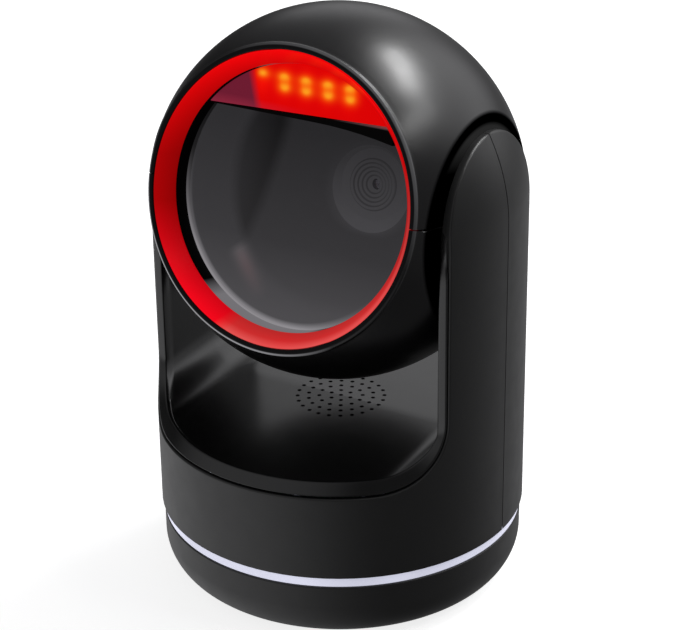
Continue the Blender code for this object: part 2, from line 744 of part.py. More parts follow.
def build_optics(head):
    hood_bottom = LENS_A - 1.5
    hood = hood_solid("optical_hood", HOOD_WALL, HOOD_FRONT_A, hood_bottom, "inner_black", head)
    cut(hood, hood_solid("hood_hollow", 0.0, HOOD_FRONT_A + 1.0, HOOD_BACK_A, parent=head))
    pocket = cylinders("hood_pocket", LENS_POCKET_R, LENS_A, HOOD_BACK_A + 1.0, [LENS_POCKET_CENTRE],
                       parent=head, segments=24)
    lens_hole = cylinders("hood_lens_hole", BARREL_R + 0.4, hood_bottom - 2.0, LENS_A + 2.0, [(0.0, 0.0)],
                          parent=head, segments=20)
    cut(hood, pocket, lens_hole)
    steps, rise, groove = 4, 0.8, 0.4
    low = LENS_A - 1.0
    barrel = [(BARREL_BORE_R, low)]
    for i in range(steps):
        r = BARREL_BORE_R + (BARREL_R - BARREL_BORE_R) * (i + 1) / steps
        top = low + rise * (i + 1)
        barrel += [(r - groove, top - rise), (r - groove, top), (r, top)]
    barrel += [(BARREL_R, BARREL_BACK_A), (BARREL_BORE_R, BARREL_BACK_A)]
    turned("lens_barrel", barrel, "inner_black", head, steps=28)
    lens_back = LENS_A - 3.5
    lens_r = BARREL_BORE_R - GAP
    lens = [(0.0, LENS_A - 1.2), (1.6, LENS_A - 1.4), (lens_r, LENS_A - 2.0), (lens_r, lens_back),
            (0.0, lens_back)]
    turned("lens", lens, "lens_glass", head, closed=False, steps=20)
    imager_back, imager_front = -28.6, -27.4
    imager = box("imager_board", (-15.0, -13.0, imager_back), (15.0, 13.0, imager_front), "circuit_green",
                 head)
    sensor_low, sensor_high = (-2.0, -1.7, imager_back + 0.6), (2.0, 1.7, imager_front + 1.5)
    join(imager, box("image_sensor", sensor_low, sensor_high, parent=head))
    board_back, board_front = -35.2, -34.0
    board = box("head_board", (-11.0, -9.0, board_back), (11.0, 9.0, board_front), "circuit_green", head)
    connector_low, connector_high = (-8.0, 2.0, board_back + 0.6), (8.0, 6.5, board_front + 2.4)
    join(board, box("head_connector", connector_low, connector_high, parent=head))


# ---------------------------------------------------------------- the object

clear_scene()
PARTS = new_collection("presentation_scanner")
HELPERS = new_collection("cutters")

build_base()
build_ballast()
build_band()
build_electronics()
build_speaker()
build_cover("front_cover", -1)
rear_cover = build_cover("rear_cover", 1)
cut(rear_cover, box("socket_window", (-6.6, 38.0, SOCKET_LOW + 1.4), (6.6, 50.0, SOCKET_HIGH - 0.5)))
build_saddle()

head_pivot = bpy.data.objects.new("head_pivot", None)
PARTS.objects.link(head_pivot)
head_pivot.location.z = PIVOT_Z * MM
head_pivot.rotation_euler.x = math.radians(90 - HEAD_TILT)
build_pivots(head_pivot)
build_head_shells(head_pivot)
build_face(head_pivot)
build_optics(head_pivot)
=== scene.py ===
"""Looks of the presentation scanner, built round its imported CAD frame.

Every visible shell is rebuilt as a fine mesh at the CAD's own dimensions, each piece gets a procedural
material, and a pale floor, soft studio light and a camera are added. Lengths are in millimetres unless a name
says otherwise, and MM turns them into the scene's metres. Head pieces are drawn in the head's own frame
(x, up, forward), whose origin is the middle of the ball.
"""

import json
import math

import bmesh
import bpy
from mathutils import Matrix, Vector


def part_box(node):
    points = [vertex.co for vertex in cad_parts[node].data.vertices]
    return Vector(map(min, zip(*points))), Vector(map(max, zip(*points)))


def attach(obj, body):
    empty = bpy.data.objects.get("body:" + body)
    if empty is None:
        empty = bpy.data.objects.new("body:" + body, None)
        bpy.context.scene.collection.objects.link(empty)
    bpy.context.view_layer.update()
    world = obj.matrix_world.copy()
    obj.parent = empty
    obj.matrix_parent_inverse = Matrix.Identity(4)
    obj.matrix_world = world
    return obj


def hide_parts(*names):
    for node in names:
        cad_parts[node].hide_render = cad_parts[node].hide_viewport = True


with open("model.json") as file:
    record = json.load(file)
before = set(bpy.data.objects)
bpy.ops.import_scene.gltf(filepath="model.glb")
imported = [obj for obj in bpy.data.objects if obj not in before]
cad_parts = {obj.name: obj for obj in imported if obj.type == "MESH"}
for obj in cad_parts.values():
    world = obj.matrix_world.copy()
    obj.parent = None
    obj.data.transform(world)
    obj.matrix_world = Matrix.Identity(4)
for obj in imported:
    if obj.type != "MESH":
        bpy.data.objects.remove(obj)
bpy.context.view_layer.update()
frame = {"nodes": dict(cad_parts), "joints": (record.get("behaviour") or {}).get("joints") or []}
MM = 0.001


def node_box(name):
    """Lowest and highest corner of a CAD node, in millimetres."""
    low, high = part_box(name)
    return low / MM, high / MM


# ---------------------------------------------------------------- dimensions

PIVOT_Z = frame["joints"][0]["pos_m"][2] / MM
HEAD_TILT = math.radians(14.5)

BODY_R = 45.0
COVER_LOW = node_box("front_cover")[0].z
COVER_WALL = 1.8
SEAM_HALF = 0.14
BASE_R = 44.4
BASE_LOW = node_box("base_cover")[0].z
BASE_HIGH = node_box("base_cover")[1].z
BASE_FILLET = 10.3
BASE_WALL = 2.0
BAND_LOW = node_box("light_band")[0].z
BAND_HIGH = node_box("light_band")[1].z
BAND_R = node_box("light_band")[1].x
POST_RING_R = 30.0

OPENING_Z = 40.3
ARM_HALF_DEPTH = 19.8
OPENING_CORNER_R = 15.0
CORNER_Y = ARM_HALF_DEPTH + OPENING_CORNER_R
CORNER_Z = OPENING_Z + OPENING_CORNER_R
CROWN_Z = 100.0
LIP_GAP_HALF = 0.25
LIP_R = 44.8

CHANNEL_HALF = 38.1
CHANNEL_CORNER_R = 9.7
CHANNEL_CORNER_X = CHANNEL_HALF - CHANNEL_CORNER_R
FLOOR_Z = 44.0
FLOOR_SLOPE = 0.9 / 43.0
SADDLE_R = 42.8
SADDLE_WALL = 1.4
GRILLE_PITCH = 2.67
GRILLE_RINGS = 4
GRILLE_HOLE_R = 0.52

HEAD_R = 44.5
HEAD_HALF = 37.0
HEAD_INNER_SCALE = 0.952
DISC_R = math.sqrt(HEAD_R**2 - HEAD_HALF**2)
TRUNNION_BORE_R = 6.4
FACE_A = 27.6
RIM_OUTER_R = 35.6
RECESS_R = 33.95
RING_BACK_A = 22.6
RING_INNER_R = 30.75
BEZEL_R = 33.5
WINDOW_A = 18.1
WINDOW_BACK_A = 16.6
WINDOW_R = 32.1
CHORD_V = 18.6
BEZEL_BORE_R = 30.7
BEZEL_FLANGE_R = 34.6
BEZEL_BACK_A = 15.8
BEZEL_FLANGE_A = 17.2
WEB_FRONT_A = 21.7
PANEL_R = 30.6
PANEL_BACK_A = 20.9
PANEL_FRONT_A = 21.8
LED_V = 25.6
LED_SPOTS = [5.75 * number for number in range(-2, 3)]
HOOD_WALL = 1.1
POCKET_CENTRE = (0.9, -0.7)
LENS_A = -17.4
BARREL_R = 7.8
BARREL_FLANGE_R = 8.8
BARREL_BACK_A = -27.0
RIDGES = 5
RIDGE_INNER_R = 1.4
RIDGE_OUTER_R = 6.5
RIDGE_STEP = (RIDGE_OUTER_R - RIDGE_INNER_R) / RIDGES

HEAD_FRAME = Matrix.Translation((0, 0, PIVOT_Z * MM)) @ Matrix.Rotation(math.pi / 2 - HEAD_TILT, 4, "X")

SHARP_ANGLE = math.radians(32.0)
DULL_BLACK = (0.006, 0.006, 0.0065)
COOL_WHITE = (0.97, 0.96, 1.0)
CAMERA_BEARING = (31.214, 25.126)
CAMERA_ROLL = math.radians(-0.748)
CAMERA_DISTANCE = 0.54457


# ---------------------------------------------------------------- mesh tools


def clean_mesh(bm):
    """The bmesh as a mesh: points that meet are welded, loose edges dropped and faces turned outwards."""
    bmesh.ops.remove_doubles(bm, verts=bm.verts, dist=0.002 * MM)
    bmesh.ops.delete(bm, geom=[edge for edge in bm.edges if not edge.link_faces], context="EDGES")
    bmesh.ops.delete(bm, geom=[vert for vert in bm.verts if not vert.link_faces], context="VERTS")
    bmesh.ops.recalc_face_normals(bm, faces=bm.faces)
    mesh = bpy.data.meshes.new("piece")
    bm.to_mesh(mesh)
    bm.free()
    return mesh


def grid_mesh(rows, wrap_rows=False, wrap_columns=False, caps=False):
    """A mesh over a grid of points in millimetres."""
    bm = bmesh.new()
    verts = [[bm.verts.new(Vector(point) * MM) for point in row] for row in rows]
    columns = len(rows[0])
    for i in range(len(rows) if wrap_rows else len(rows) - 1):
        for j in range(columns if wrap_columns else columns - 1):
            k, m = (i + 1) % len(rows), (j + 1) % columns
            bm.faces.new((verts[i][j], verts[i][m], verts[k][m], verts[k][j]))
    if caps:
        bm.faces.new(verts[0])
        bm.faces.new(verts[-1])
    return clean_mesh(bm)


def polar(radius, angle, centre=(0.0, 0.0)):
    """A point on a circle, with its angle in radians."""
    return centre[0] + radius * math.cos(angle), centre[1] + radius * math.sin(angle)


def rounded(outline, steps=4):
    """An outline of (x, y, fillet) as points, with each corner rounded to its fillet."""
    made = []
    for i, (x, y, fillet) in enumerate(outline):
        corner = Vector((x, y))
        before = Vector(outline[i - 1][:2]) - corner
        after = Vector(outline[(i + 1) % len(outline)][:2]) - corner
        if fillet <= 0:
            made.append((x, y))
            continue
        half = before.angle(after) / 2
        reach = min(fillet / math.tan(half), before.length * 0.49, after.length * 0.49)
        radius = reach * math.tan(half)
        centre = corner + (before.normalized() + after.normalized()).normalized() * (radius / math.sin(half))
        start = corner + before.normalized() * reach - centre
        end = corner + after.normalized() * reach - centre
        first = math.atan2(start.y, start.x)
        turn = (math.atan2(end.y, end.x) - first + math.pi) % math.tau - math.pi
        made += [polar(radius, first + turn * k / steps, centre) for k in range(steps + 1)]
    return made


def bent(start, corner, end, steps):
    """Points of a curve from start to end that leans into the corner between them."""
    spans = [k / steps for k in range(steps + 1)]
    return [start * (1 - f) ** 2 + corner * 2 * f * (1 - f) + end * f**2 for f in spans]


def arc(centre, radius, start, end, steps):
    """Points of an arc in degrees as (x, y, no fillet), ready for an outline."""
    angles = [math.radians(start + (end - start) * i / steps) for i in range(steps + 1)]
    return [(*polar(radius, angle, centre), 0.0) for angle in angles]


def turned_mesh(outline, steps=160, fillet_steps=4, centre=(0.0, 0.0)):
    """A closed outline of (radius, height, fillet) turned about an upright line."""
    profile = rounded(outline, fillet_steps)
    turns = [math.tau * i / steps for i in range(steps)]
    rows = [[(*polar(r, turn, centre), h) for r, h in profile] for turn in turns]
    return grid_mesh(rows, wrap_rows=True, wrap_columns=True)


def rounded_box_mesh(low, high, fillet, steps=3):
    """A box with every edge rounded."""
    bm = bmesh.new()
    made = bmesh.ops.create_cube(bm, size=1.0)
    low, high = Vector(low), Vector(high)
    bmesh.ops.scale(bm, verts=made["verts"], vec=(high - low) * MM)
    bmesh.ops.translate(bm, verts=made["verts"], vec=(low + high) / 2 * MM)
    bmesh.ops.bevel(bm, geom=bm.edges, offset=fillet * MM, segments=steps, profile=0.5, affect="EDGES")
    return clean_mesh(bm)


def joined_mesh(meshes):
    """Several separate meshes as one."""
    bm = bmesh.new()
    for mesh in meshes:
        bm.from_mesh(mesh)
    joined = bpy.data.meshes.new("piece")
    bm.to_mesh(joined)
    bm.free()
    return joined


def cylinders_mesh(radius, low, high, centres, segments=16):
    bm = bmesh.new()
    for x, y in centres:
        place = Matrix.Translation(Vector((x, y, (low + high) / 2)) * MM)
        bmesh.ops.create_cone(
            bm, cap_ends=True, segments=segments, radius1=radius * MM, radius2=radius * MM,
            depth=(high - low) * MM, matrix=place,
        )
    return clean_mesh(bm)


def cut(mesh, *cutters):
    """The mesh with cutters taken away, by exact Booleans."""
    body = bpy.data.objects.new("cut_body", mesh)
    bpy.context.scene.collection.objects.link(body)
    tools = []
    for cutter in cutters:
        tool = bpy.data.objects.new("cutter", cutter)
        bpy.context.scene.collection.objects.link(tool)
        boolean = body.modifiers.new("Cut", "BOOLEAN")
        boolean.operation = "DIFFERENCE"
        boolean.solver = "EXACT"
        boolean.object = tool
        tools.append(tool)
    graph = bpy.context.evaluated_depsgraph_get()
    made = bpy.data.meshes.new_from_object(body.evaluated_get(graph))
    bm = bmesh.new()
    bm.from_mesh(made)
    bmesh.ops.remove_doubles(bm, verts=bm.verts, dist=0.002 * MM)
    bmesh.ops.holes_fill(bm, edges=[edge for edge in bm.edges if edge.is_boundary], sides=4)
    bm.to_mesh(made)
    bm.free()
    for obj in (body, *tools):
        bpy.data.objects.remove(obj)
    return made


def around(radius, count, first=0.0):
    """Centres spaced evenly on a circle."""
    return [polar(radius, first + math.tau * i / count) for i in range(count)]


def piece(name, mesh, look, body, *nodes):
    """A finished piece: smooth shaded, in one material, riding on a body and standing for CAD nodes. Those of
    the head are drawn in the head's frame."""
    if body == "head":
        mesh.transform(HEAD_FRAME)
    mesh.name = name
    mesh.materials.clear()
    mesh.materials.append(MATERIALS[look])
    obj = bpy.data.objects.new(name, mesh)
    bpy.context.scene.collection.objects.link(obj)
    mesh.shade_smooth()
    mesh.set_sharp_from_angle(angle=SHARP_ANGLE)
    weighted = obj.modifiers.new("Even shading", "WEIGHTED_NORMAL")
    weighted.keep_sharp = True
    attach(obj, body)
    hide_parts(*nodes)


# ---------------------------------------------------------------- material tools


class Nodes:
    """A node tree under construction, with short calls for the nodes used here."""

    def __init__(self, tree):
        self.tree = tree

    def node(self, kind, values=None, **settings):
        made = self.tree.nodes.new(kind)
        for key, value in settings.items():
            setattr(made, key, value)
        for key, value in (values or {}).items():
            self.put(made.inputs[key], value)
        return made

    def put(self, socket, value):
        """A socket takes a link from another socket, or a plain value."""
        if isinstance(value, bpy.types.NodeSocket):
            self.tree.links.new(value, socket)
        elif hasattr(value, "__len__") and len(value) == 3 and len(socket.default_value) == 4:
            socket.default_value = (*value, 1.0)
        else:
            socket.default_value = value

    def math(self, operation, first, second=0.0, third=0.0, clamp=False):
        made = self.node("ShaderNodeMath", {0: first, 1: second, 2: third}, operation=operation)
        made.use_clamp = clamp
        return made.outputs[0]

    def times(self, first, second, clamp=False):
        return self.math("MULTIPLY", first, second, clamp=clamp)

    def total(self, *terms, add=0.0):
        """The sum of (value, weight) terms and of what is added."""
        for value, weight in terms:
            add = self.math("MULTIPLY_ADD", value, weight, add)
        return add

    def reach(self, first, second):
        """The distance from the line on which both coordinates are nought."""
        return self.math("SQRT", self.total((first, first), (second, second)))

    def blend(self, factor, first, second):
        """A number between two others."""
        return self.math("MULTIPLY_ADD", factor, self.math("SUBTRACT", second, first), first)

    def spread(self, value, low, high, from_low=0.0, from_high=1.0, **settings):
        """From low to high as the value goes from from_low to from_high, and level beyond them."""
        values = {"Value": value, "From Min": from_low, "From Max": from_high, "To Min": low, "To Max": high}
        return self.node("ShaderNodeMapRange", values, **settings).outputs[0]

    def rise(self, value, start, end):
        return self.spread(value, 0.0, 1.0, start, end)

    def fall(self, value, start, end):
        return self.spread(value, 1.0, 0.0, start, end)


class Shader(Nodes):
    """A procedural material."""

    def __init__(self, name, slot):
        self.material = bpy.data.materials.new(name)
        self.material["slot"] = slot
        self.material.use_nodes = True
        super().__init__(self.material.node_tree)
        self.base = self.tree.nodes["Principled BSDF"]

    def set(self, **values):
        """Sets Principled inputs, with spaces in their names as underscores, and gives the material."""
        for key, value in values.items():
            self.put(self.base.inputs[key.replace("_", " ")], value)
        return self.material

    def surface(self, kind, first, second, factor=None):
        """Makes the surface from two closures, by a node that adds or mixes them, and gives the material."""
        made = self.node(kind)
        self.put(made.inputs[-2], first.outputs[0])
        self.put(made.inputs[-1], second.outputs[0])
        if factor is not None:
            self.put(made.inputs[0], factor)
        self.put(self.tree.nodes["Material Output"].inputs["Surface"], made.outputs[0])
        return self.material

    def place(self):
        """The object's own coordinates, in millimetres, which move with its body."""
        coordinates = self.node("ShaderNodeTexCoord")
        scaled = self.node("ShaderNodeVectorMath", {0: coordinates.outputs["Object"]}, operation="SCALE")
        scaled.inputs["Scale"].default_value = 1 / MM
        return scaled.outputs[0]

    def head_place(self):
        """Coordinates in the head's own frame, in millimetres: across, up and forward."""
        values = {"Vector": self.place(), "Location": (0.0, 0.0, PIVOT_Z),
                  "Rotation": (math.pi / 2 - HEAD_TILT, 0.0, 0.0)}
        moved = self.node("ShaderNodeMapping", values, vector_type="TEXTURE")
        return self.node("ShaderNodeSeparateXYZ", {0: moved.outputs[0]}).outputs

    def noise(self, per_mm, detail=3.0, vector=None):
        values = {"Vector": vector or self.place(), "Scale": per_mm, "Detail": detail}
        return self.node("ShaderNodeTexNoise", values).outputs[0]

    def mix(self, factor, first, second):
        """A colour between two others."""
        return self.node("ShaderNodeMix", {0: factor, 6: first, 7: second}, data_type="RGBA").outputs[2]

    def bump(self, height, depth_mm, normal=None):
        made = self.node("ShaderNodeBump", {"Height": height, "Distance": depth_mm * MM})
        if normal is not None:
            self.put(made.inputs["Normal"], normal)
        return made.outputs[0]


def moulded(name, slot, colour, roughness, specular=0.5, grain_mm=0.35, grain_depth=0.004):
    """Moulded plastic: a fine spark-eroded grain, faint flow mottling and uneven gloss."""
    shader = Shader(name, slot)
    grain = shader.noise(1.0 / grain_mm, 2.0)
    dark, pale, palest = [tuple(channel * factor for channel in colour) for factor in (0.85, 1.2, 1.35)]
    speckle = shader.mix(shader.rise(grain, 0.35, 0.75), dark, pale)
    tone = shader.mix(shader.spread(shader.noise(0.06, 2.0), 0.0, 0.35, 0.3, 0.7), speckle, palest)
    uneven = shader.total((shader.noise(0.25, 3.0), roughness * 0.25), add=roughness * 0.875)
    shader.set(Base_Color=tone, Roughness=uneven, Specular_IOR_Level=specular,
               Normal=shader.bump(grain, grain_depth))
    return shader


def body_black():
    return moulded("Body black", "body_black", (0.010, 0.010, 0.010), 0.42).material


def saddle_black():
    colour = (0.004, 0.004, 0.004)
    return moulded("Saddle black", "saddle_black", colour, 0.22, 0.62, grain_depth=0.0012).material


def base_black():
    return moulded("Base black", "base_black", (0.010, 0.010, 0.010), 0.44).material


def inner_black():
    return moulded("Inner black", "inner_black", (0.006, 0.006, 0.007), 0.5, 0.3, grain_mm=0.5).material


def bush_plastic():
    return moulded("Bush plastic", "bush_plastic", (0.55, 0.53, 0.46), 0.4).material


def head_black():
    """Satin black. Where the flat sides face the arms they are painted shade, an emission without gloss,
    black at the edge and painted a little lighter above. The rim's rounded outer edge has a painted highlight
    at its foot and at its top right. Its flat front is darker than the ball."""
    shader = moulded("Head black", "head_black", (0.006, 0.0056, 0.0062), 0.31)
    across, up, forward = shader.head_place()
    # Painted shade: on the flat sides facing the arms the plastic gives way to a near-black emission, painted
    # a little lighter above.
    flat = shader.rise(shader.math("ABSOLUTE", across), HEAD_HALF - 0.5, HEAD_HALF - 0.12)
    inside = shader.fall(shader.reach(up, forward), DISC_R - 2.9, DISC_R - 1.9)
    painted_side_light = shader.times(shader.spread(up, 0.0, 0.02, 12.0, 19.0), inside)
    painted_dim_light = shader.node("ShaderNodeEmission", {"Color": (1.0, 1.0, 1.0), "Strength": painted_side_light})
    shader.surface("ShaderNodeMixShader", shader.base, painted_dim_light, flat)

    # Painted highlight: white emission on the rim's rounded outer edge, at its foot and at its top right.
    radius = shader.reach(across, up)
    proud = shader.rise(forward, FACE_A - 0.75, FACE_A - 0.6)
    edge = shader.times(shader.rise(radius, RIM_OUTER_R - 0.65, RIM_OUTER_R - 0.45), proud)
    front = shader.times(shader.fall(radius, RIM_OUTER_R - 0.7, RIM_OUTER_R - 0.3), proud)
    bearing = shader.total((across, -0.62), (up, -0.78))
    foot = shader.rise(bearing, 12.0, 31.0)
    top = shader.spread(bearing, 0.22, 0.0, -31.0, -14.0)
    painted_rim_highlight = shader.times(edge, shader.math("ADD", foot, top))
    return shader.set(Emission_Color=(0.95, 0.95, 1.0), Emission_Strength=shader.times(painted_rim_highlight, 0.26),
                      Specular_IOR_Level=shader.spread(front, 0.5, 0.08))


def hood_black():
    """The hood's dark, matte inside, under painted light and shade as a faint emission: the drum's wall, a
    dark cheek on the left painted in shade, and a lighter back with the round lens pocket, painted lightest
    at its foot."""
    shader = Shader("Hood black", "inner_black")
    across, up, forward = shader.head_place()
    # Painted light and shade, given as emission by place: dark on the left cheek, lighter on the back,
    # lightest at the pocket's foot.
    cheek_edge = shader.total((across, 0.941), (up, -0.185), (forward, -0.285), add=20.33)
    painted_cheek_shade = shader.spread(cheek_edge, 0.014, 0.002, -7.0, -1.0)
    level = shader.blend(shader.rise(cheek_edge, -0.3, 2.2), painted_cheek_shade, 0.0205)
    level = shader.blend(shader.rise(forward, -0.6, 2.2), level, 0.029)
    pocket = shader.spread(up, 0.058, 0.029, -10.0, 5.0)
    level = shader.blend(shader.fall(forward, -14.3, -14.15), level, pocket)
    # The painted light is made a little uneven at random.
    painted_light_uneven = shader.times(level, shader.spread(shader.noise(0.4, 3.0), 0.94, 1.06))
    return shader.set(Base_Color=DULL_BLACK, Roughness=0.8, Specular_IOR_Level=0.1,
                      Emission_Color=COOL_WHITE, Emission_Strength=painted_light_uneven)


def barrel_black():
    """The lens barrel's ridges, with painted light and shade as emission: dark in the grooves, a little
    lighter on the crests, and lighter below than above.
    """
    shader = Shader("Barrel black", "inner_black")
    across, up, _ = shader.head_place()
    radius = shader.reach(across, up)
    steps = shader.total((radius, 1 / RIDGE_STEP), add=-RIDGE_INNER_R / RIDGE_STEP)
    phase = shader.math("FRACT", shader.math("MAXIMUM", steps, 0.0))
    ridged = shader.fall(radius, RIDGE_OUTER_R - 0.05, RIDGE_OUTER_R + 0.05)
    # Painted shade in the grooves and painted light on the crests, lighter below than above.
    groove = shader.times(shader.rise(phase, 0.58, 0.72), ridged)
    level = shader.times(shader.spread(groove, 0.042, 0.020), shader.spread(up, 1.2, 0.8, -8.0, 8.0))
    return shader.set(Base_Color=DULL_BLACK, Roughness=shader.spread(shader.noise(0.5, 2.0), 0.5, 0.7),
                      Emission_Color=COOL_WHITE, Emission_Strength=level, Specular_IOR_Level=0.1)


def bezel_black():
    """Black plastic with painted light as emission: a red glow over the LEDs and a pale one at the foot of
    the window.
    """
    shader = Shader("Bezel black", "inner_black")
    across, up, _ = shader.head_place()
    # Painted red light over the LEDs, and painted pale light at the foot of the window, on the bore's edge
    # only.
    over = shader.times(shader.rise(up, 19.5, 20.5), shader.rise(across, -13.0, -7.0))
    under = shader.rise(shader.total((across, -0.139), (up, -0.99)), 25.6, 28.0)
    inner = shader.fall(shader.reach(across, up), BEZEL_BORE_R + 0.2, BEZEL_BORE_R + 0.5)
    glow = shader.mix(over, (0.17, 0.163, 0.175), (0.60, 0.0006, 0.0015))
    lit = shader.times(shader.math("ADD", over, under, clamp=True), inner)
    gloss = shader.spread(shader.noise(2.0, 2.0), 0.45, 0.6)
    return shader.set(Base_Color=(0.002, 0.002, 0.002), Roughness=gloss, Specular_IOR_Level=0.03,
                      Emission_Color=glow, Emission_Strength=lit)


def band_white():
    """Frosted diffuser: light from the boards behind it, a touch violet, uneven from one LED to the next."""
    shader = Shader("Band white", "band_white")
    frost = shader.noise(2.2, 3.0)
    glow = shader.spread(shader.noise(0.05, 1.0), 0.85, 1.15, 0.3, 0.7)
    tint = shader.mix(shader.spread(frost, 0.0, 1.0), (0.60, 0.60, 0.70), (0.70, 0.70, 0.80))
    return shader.set(Base_Color=tint, Roughness=shader.spread(frost, 0.3, 0.5),
                      Emission_Color=(0.60, 0.61, 0.74), Emission_Strength=shader.times(glow, 0.72),
                      Subsurface_Weight=0.2, Subsurface_Radius=(0.001, 0.001, 0.001),
                      Normal=shader.bump(frost, 0.004))


def ring_red():
    """Tinted light guide: deep red, glowing from behind, brighter above and below, and with a painted pale
    light on its foot, palest at its front edge."""
    shader = Shader("Ring red", "ring_red")
    across, up, forward = shader.head_place()
    flow = shader.noise(0.12, 2.0)
    # Painted pale light on the ring's foot, palest at its front edge, laid over the red glow.
    foot = shader.rise(shader.total((across, 0.844), (up, -0.531)), 5.2, 9.0)
    low = shader.times(foot, shader.fall(up, -22.0, 14.0))
    pale = shader.times(low, shader.spread(flow, 0.85, 1.0, 0.3, 0.7), clamp=True)
    edge = shader.rise(forward, FACE_A - 2.2, FACE_A - 0.4)
    glow = shader.mix(shader.rise(up, 5.0, 30.0), (0.33, 0.0008, 0.0014), (0.76, 0.001, 0.002))
    glow = shader.mix(shader.fall(up, -27.0, -6.0), glow, (0.80, 0.002, 0.010))
    glow = shader.mix(pale, glow, shader.mix(edge, (0.60, 0.028, 0.028), (0.66, 0.075, 0.072)))
    depth = shader.spread(forward, 0.72, 1.12, RING_BACK_A, FACE_A)
    return shader.set(Base_Color=(0.10, 0.0005, 0.0005), Roughness=shader.spread(flow, 0.30, 0.45),
                      Emission_Color=glow, Emission_Strength=depth, Specular_IOR_Level=0.04,
                      Normal=shader.bump(shader.noise(1.6, 2.0), 0.003))


def led_pools(shader, across, up, height, narrow, wide, shift, first=0):
    """A row of soft pools of light, one before each LED from the first on."""
    lit = 0.0
    for spot in LED_SPOTS[first:]:
        du = shader.math("SUBTRACT", across, spot + shift)
        dv = shader.math("SUBTRACT", up, height)
        power = shader.total((shader.times(du, du), -narrow), (shader.times(dv, dv), -wide))
        lit = shader.math("ADD", lit, shader.math("EXPONENT", power))
    return lit


def panel_red():
    """Red filter over the LEDs: each LED burns through it in two lobes; past the last LED it is dull, with a
    painted purple reflection, and a paler painted reflection along its lower edge on the left.
    """
    shader = Shader("Panel red", "panel_red")
    across, up, _ = shader.head_place()
    halo = led_pools(shader, across, up, LED_V + 0.3, 0.20, 0.09, 0.7)
    upper = led_pools(shader, across, up, LED_V + 1.5, 0.19, 0.40, 0.5)
    lower = led_pools(shader, across, up, LED_V - 0.9, 0.19, 0.34, 0.95, 1)
    lit = shader.mix(shader.times(halo, 0.9, clamp=True), (0.72, 0.0004, 0.0008), (0.95, 0.005, 0.001))
    # Past the last LED: unlit dark red under a painted purple reflection, and a paler painted reflection
    # along the lower edge on the left.
    side = shader.rise(shader.total((up, -0.35), (across, -1.0)), 3.4, 5.6)
    strip = shader.spread(up, 0.45, 0.0, CHORD_V, CHORD_V + 2.4)
    strip = shader.times(strip, shader.fall(across, -16.0, 4.0))
    painted_dim_light = shader.mix(side, lit, (0.135, 0.012, 0.032))
    painted_dim_light = shader.mix(strip, painted_dim_light, (0.36, 0.030, 0.065))
    hot = [shader.math("POWER", lobe, 3.0) for lobe in (upper, lower)]
    amber = shader.mix(shader.math("ADD", *hot, clamp=True), (0.95, 0.08, 0.001), (1.0, 0.36, 0.014))
    core = shader.math("POWER", shader.math("ADD", upper, lower, clamp=True), 1.8)
    spot = shader.times(core, shader.rise(across, -13.6, -12.0), clamp=True)
    ripple = shader.noise(0.8, 2.0)
    shader.set(Base_Color=(0.06, 0.0004, 0.0004), Roughness=shader.spread(ripple, 0.18, 0.3),
               Specular_IOR_Level=0.02, Emission_Color=shader.mix(spot, painted_dim_light, amber), Emission_Strength=0.95,
               Normal=shader.bump(ripple, 0.006))
    clear = shader.node("ShaderNodeBsdfTransparent", {"Color": (1.0, 0.35, 0.10)})
    return shader.surface("ShaderNodeMixShader", shader.base, clear, 0.04)


def led_orange():
    """A lit LED: yellow-hot in its middle, red at its rim."""
    shader = Shader("LED orange", "led_orange")
    facing = shader.node("ShaderNodeLayerWeight", {"Blend": 0.35}).outputs["Facing"]
    uneven = shader.noise(1.2, 2.0)
    glow = shader.mix(facing, (1.0, 0.55, 0.05), (1.0, 0.06, 0.0))
    return shader.set(Base_Color=(0.8, 0.2, 0.05), Roughness=shader.spread(uneven, 0.2, 0.35),
                      Emission_Color=glow, Emission_Strength=shader.spread(uneven, 1.6, 2.4))


def window_smoked():
    """Smoked pane: mostly clear, under a painted reflection that thickens downwards, with a painted pale band
    round its border, brightest at its foot and fading up the left side, and a painted smear of the ring's
    light, all on its front face only."""
    shader = Shader("Window smoked", "window_smoked")
    across, up, _ = shader.head_place()
    tint = shader.mix(shader.noise(0.05, 2.0), (0.82, 0.82, 0.84), (0.84, 0.83, 0.85))
    clear = shader.node("ShaderNodeBsdfTransparent", {"Color": tint})
    # Painted reflection: a grey emission, thicker downwards.
    painted_reflection = shader.spread(up, 0.024, 0.0075, -11.0, 16.0)
    painted_reflection = shader.math("ADD", painted_reflection, shader.spread(up, 0.030, 0.0, -28.0, -11.0))
    # A painted pale band round the border, brightest at its foot and fading up the left side.
    border = shader.rise(shader.reach(across, up), 29.1, 30.6)
    foot = shader.math("POWER", shader.rise(shader.total((up, -0.90), (across, -0.42)), 6.0, 26.0), 1.5)
    # A painted smear of the ring's light, partly pink.
    along = shader.total((across, 0.60), (up, -0.80), add=-7.2)
    beside = shader.total((across, 0.80), (up, 0.60), add=20.6)
    painted_ring_smear = shader.math("EXPONENT", shader.times(shader.times(beside, beside), -0.22))
    taper = shader.times(shader.rise(along, -5.5, -3.5), shader.fall(along, -2.0, 9.0))
    painted_ring_smear = shader.times(painted_ring_smear, taper)
    pink = shader.times(painted_ring_smear, shader.spread(along, 0.25, 1.0, -4.0, 1.0))
    tone = shader.mix(pink, (0.98, 0.94, 1.0), (1.15, 0.75, 0.80))
    # The sum of the painted reflection, the painted border band and the painted smear, shown on the front
    # face only.
    painted_light_sum = shader.total((shader.times(border, foot), 0.22), (painted_ring_smear, 0.042), add=painted_reflection)
    front = shader.math("LESS_THAN", shader.node("ShaderNodeNewGeometry").outputs["Backfacing"], 0.5)
    painted_light_emission = shader.node("ShaderNodeEmission", {"Color": tone, "Strength": shader.times(painted_light_sum, front)})
    return shader.surface("ShaderNodeAddShader", clear, painted_light_emission)


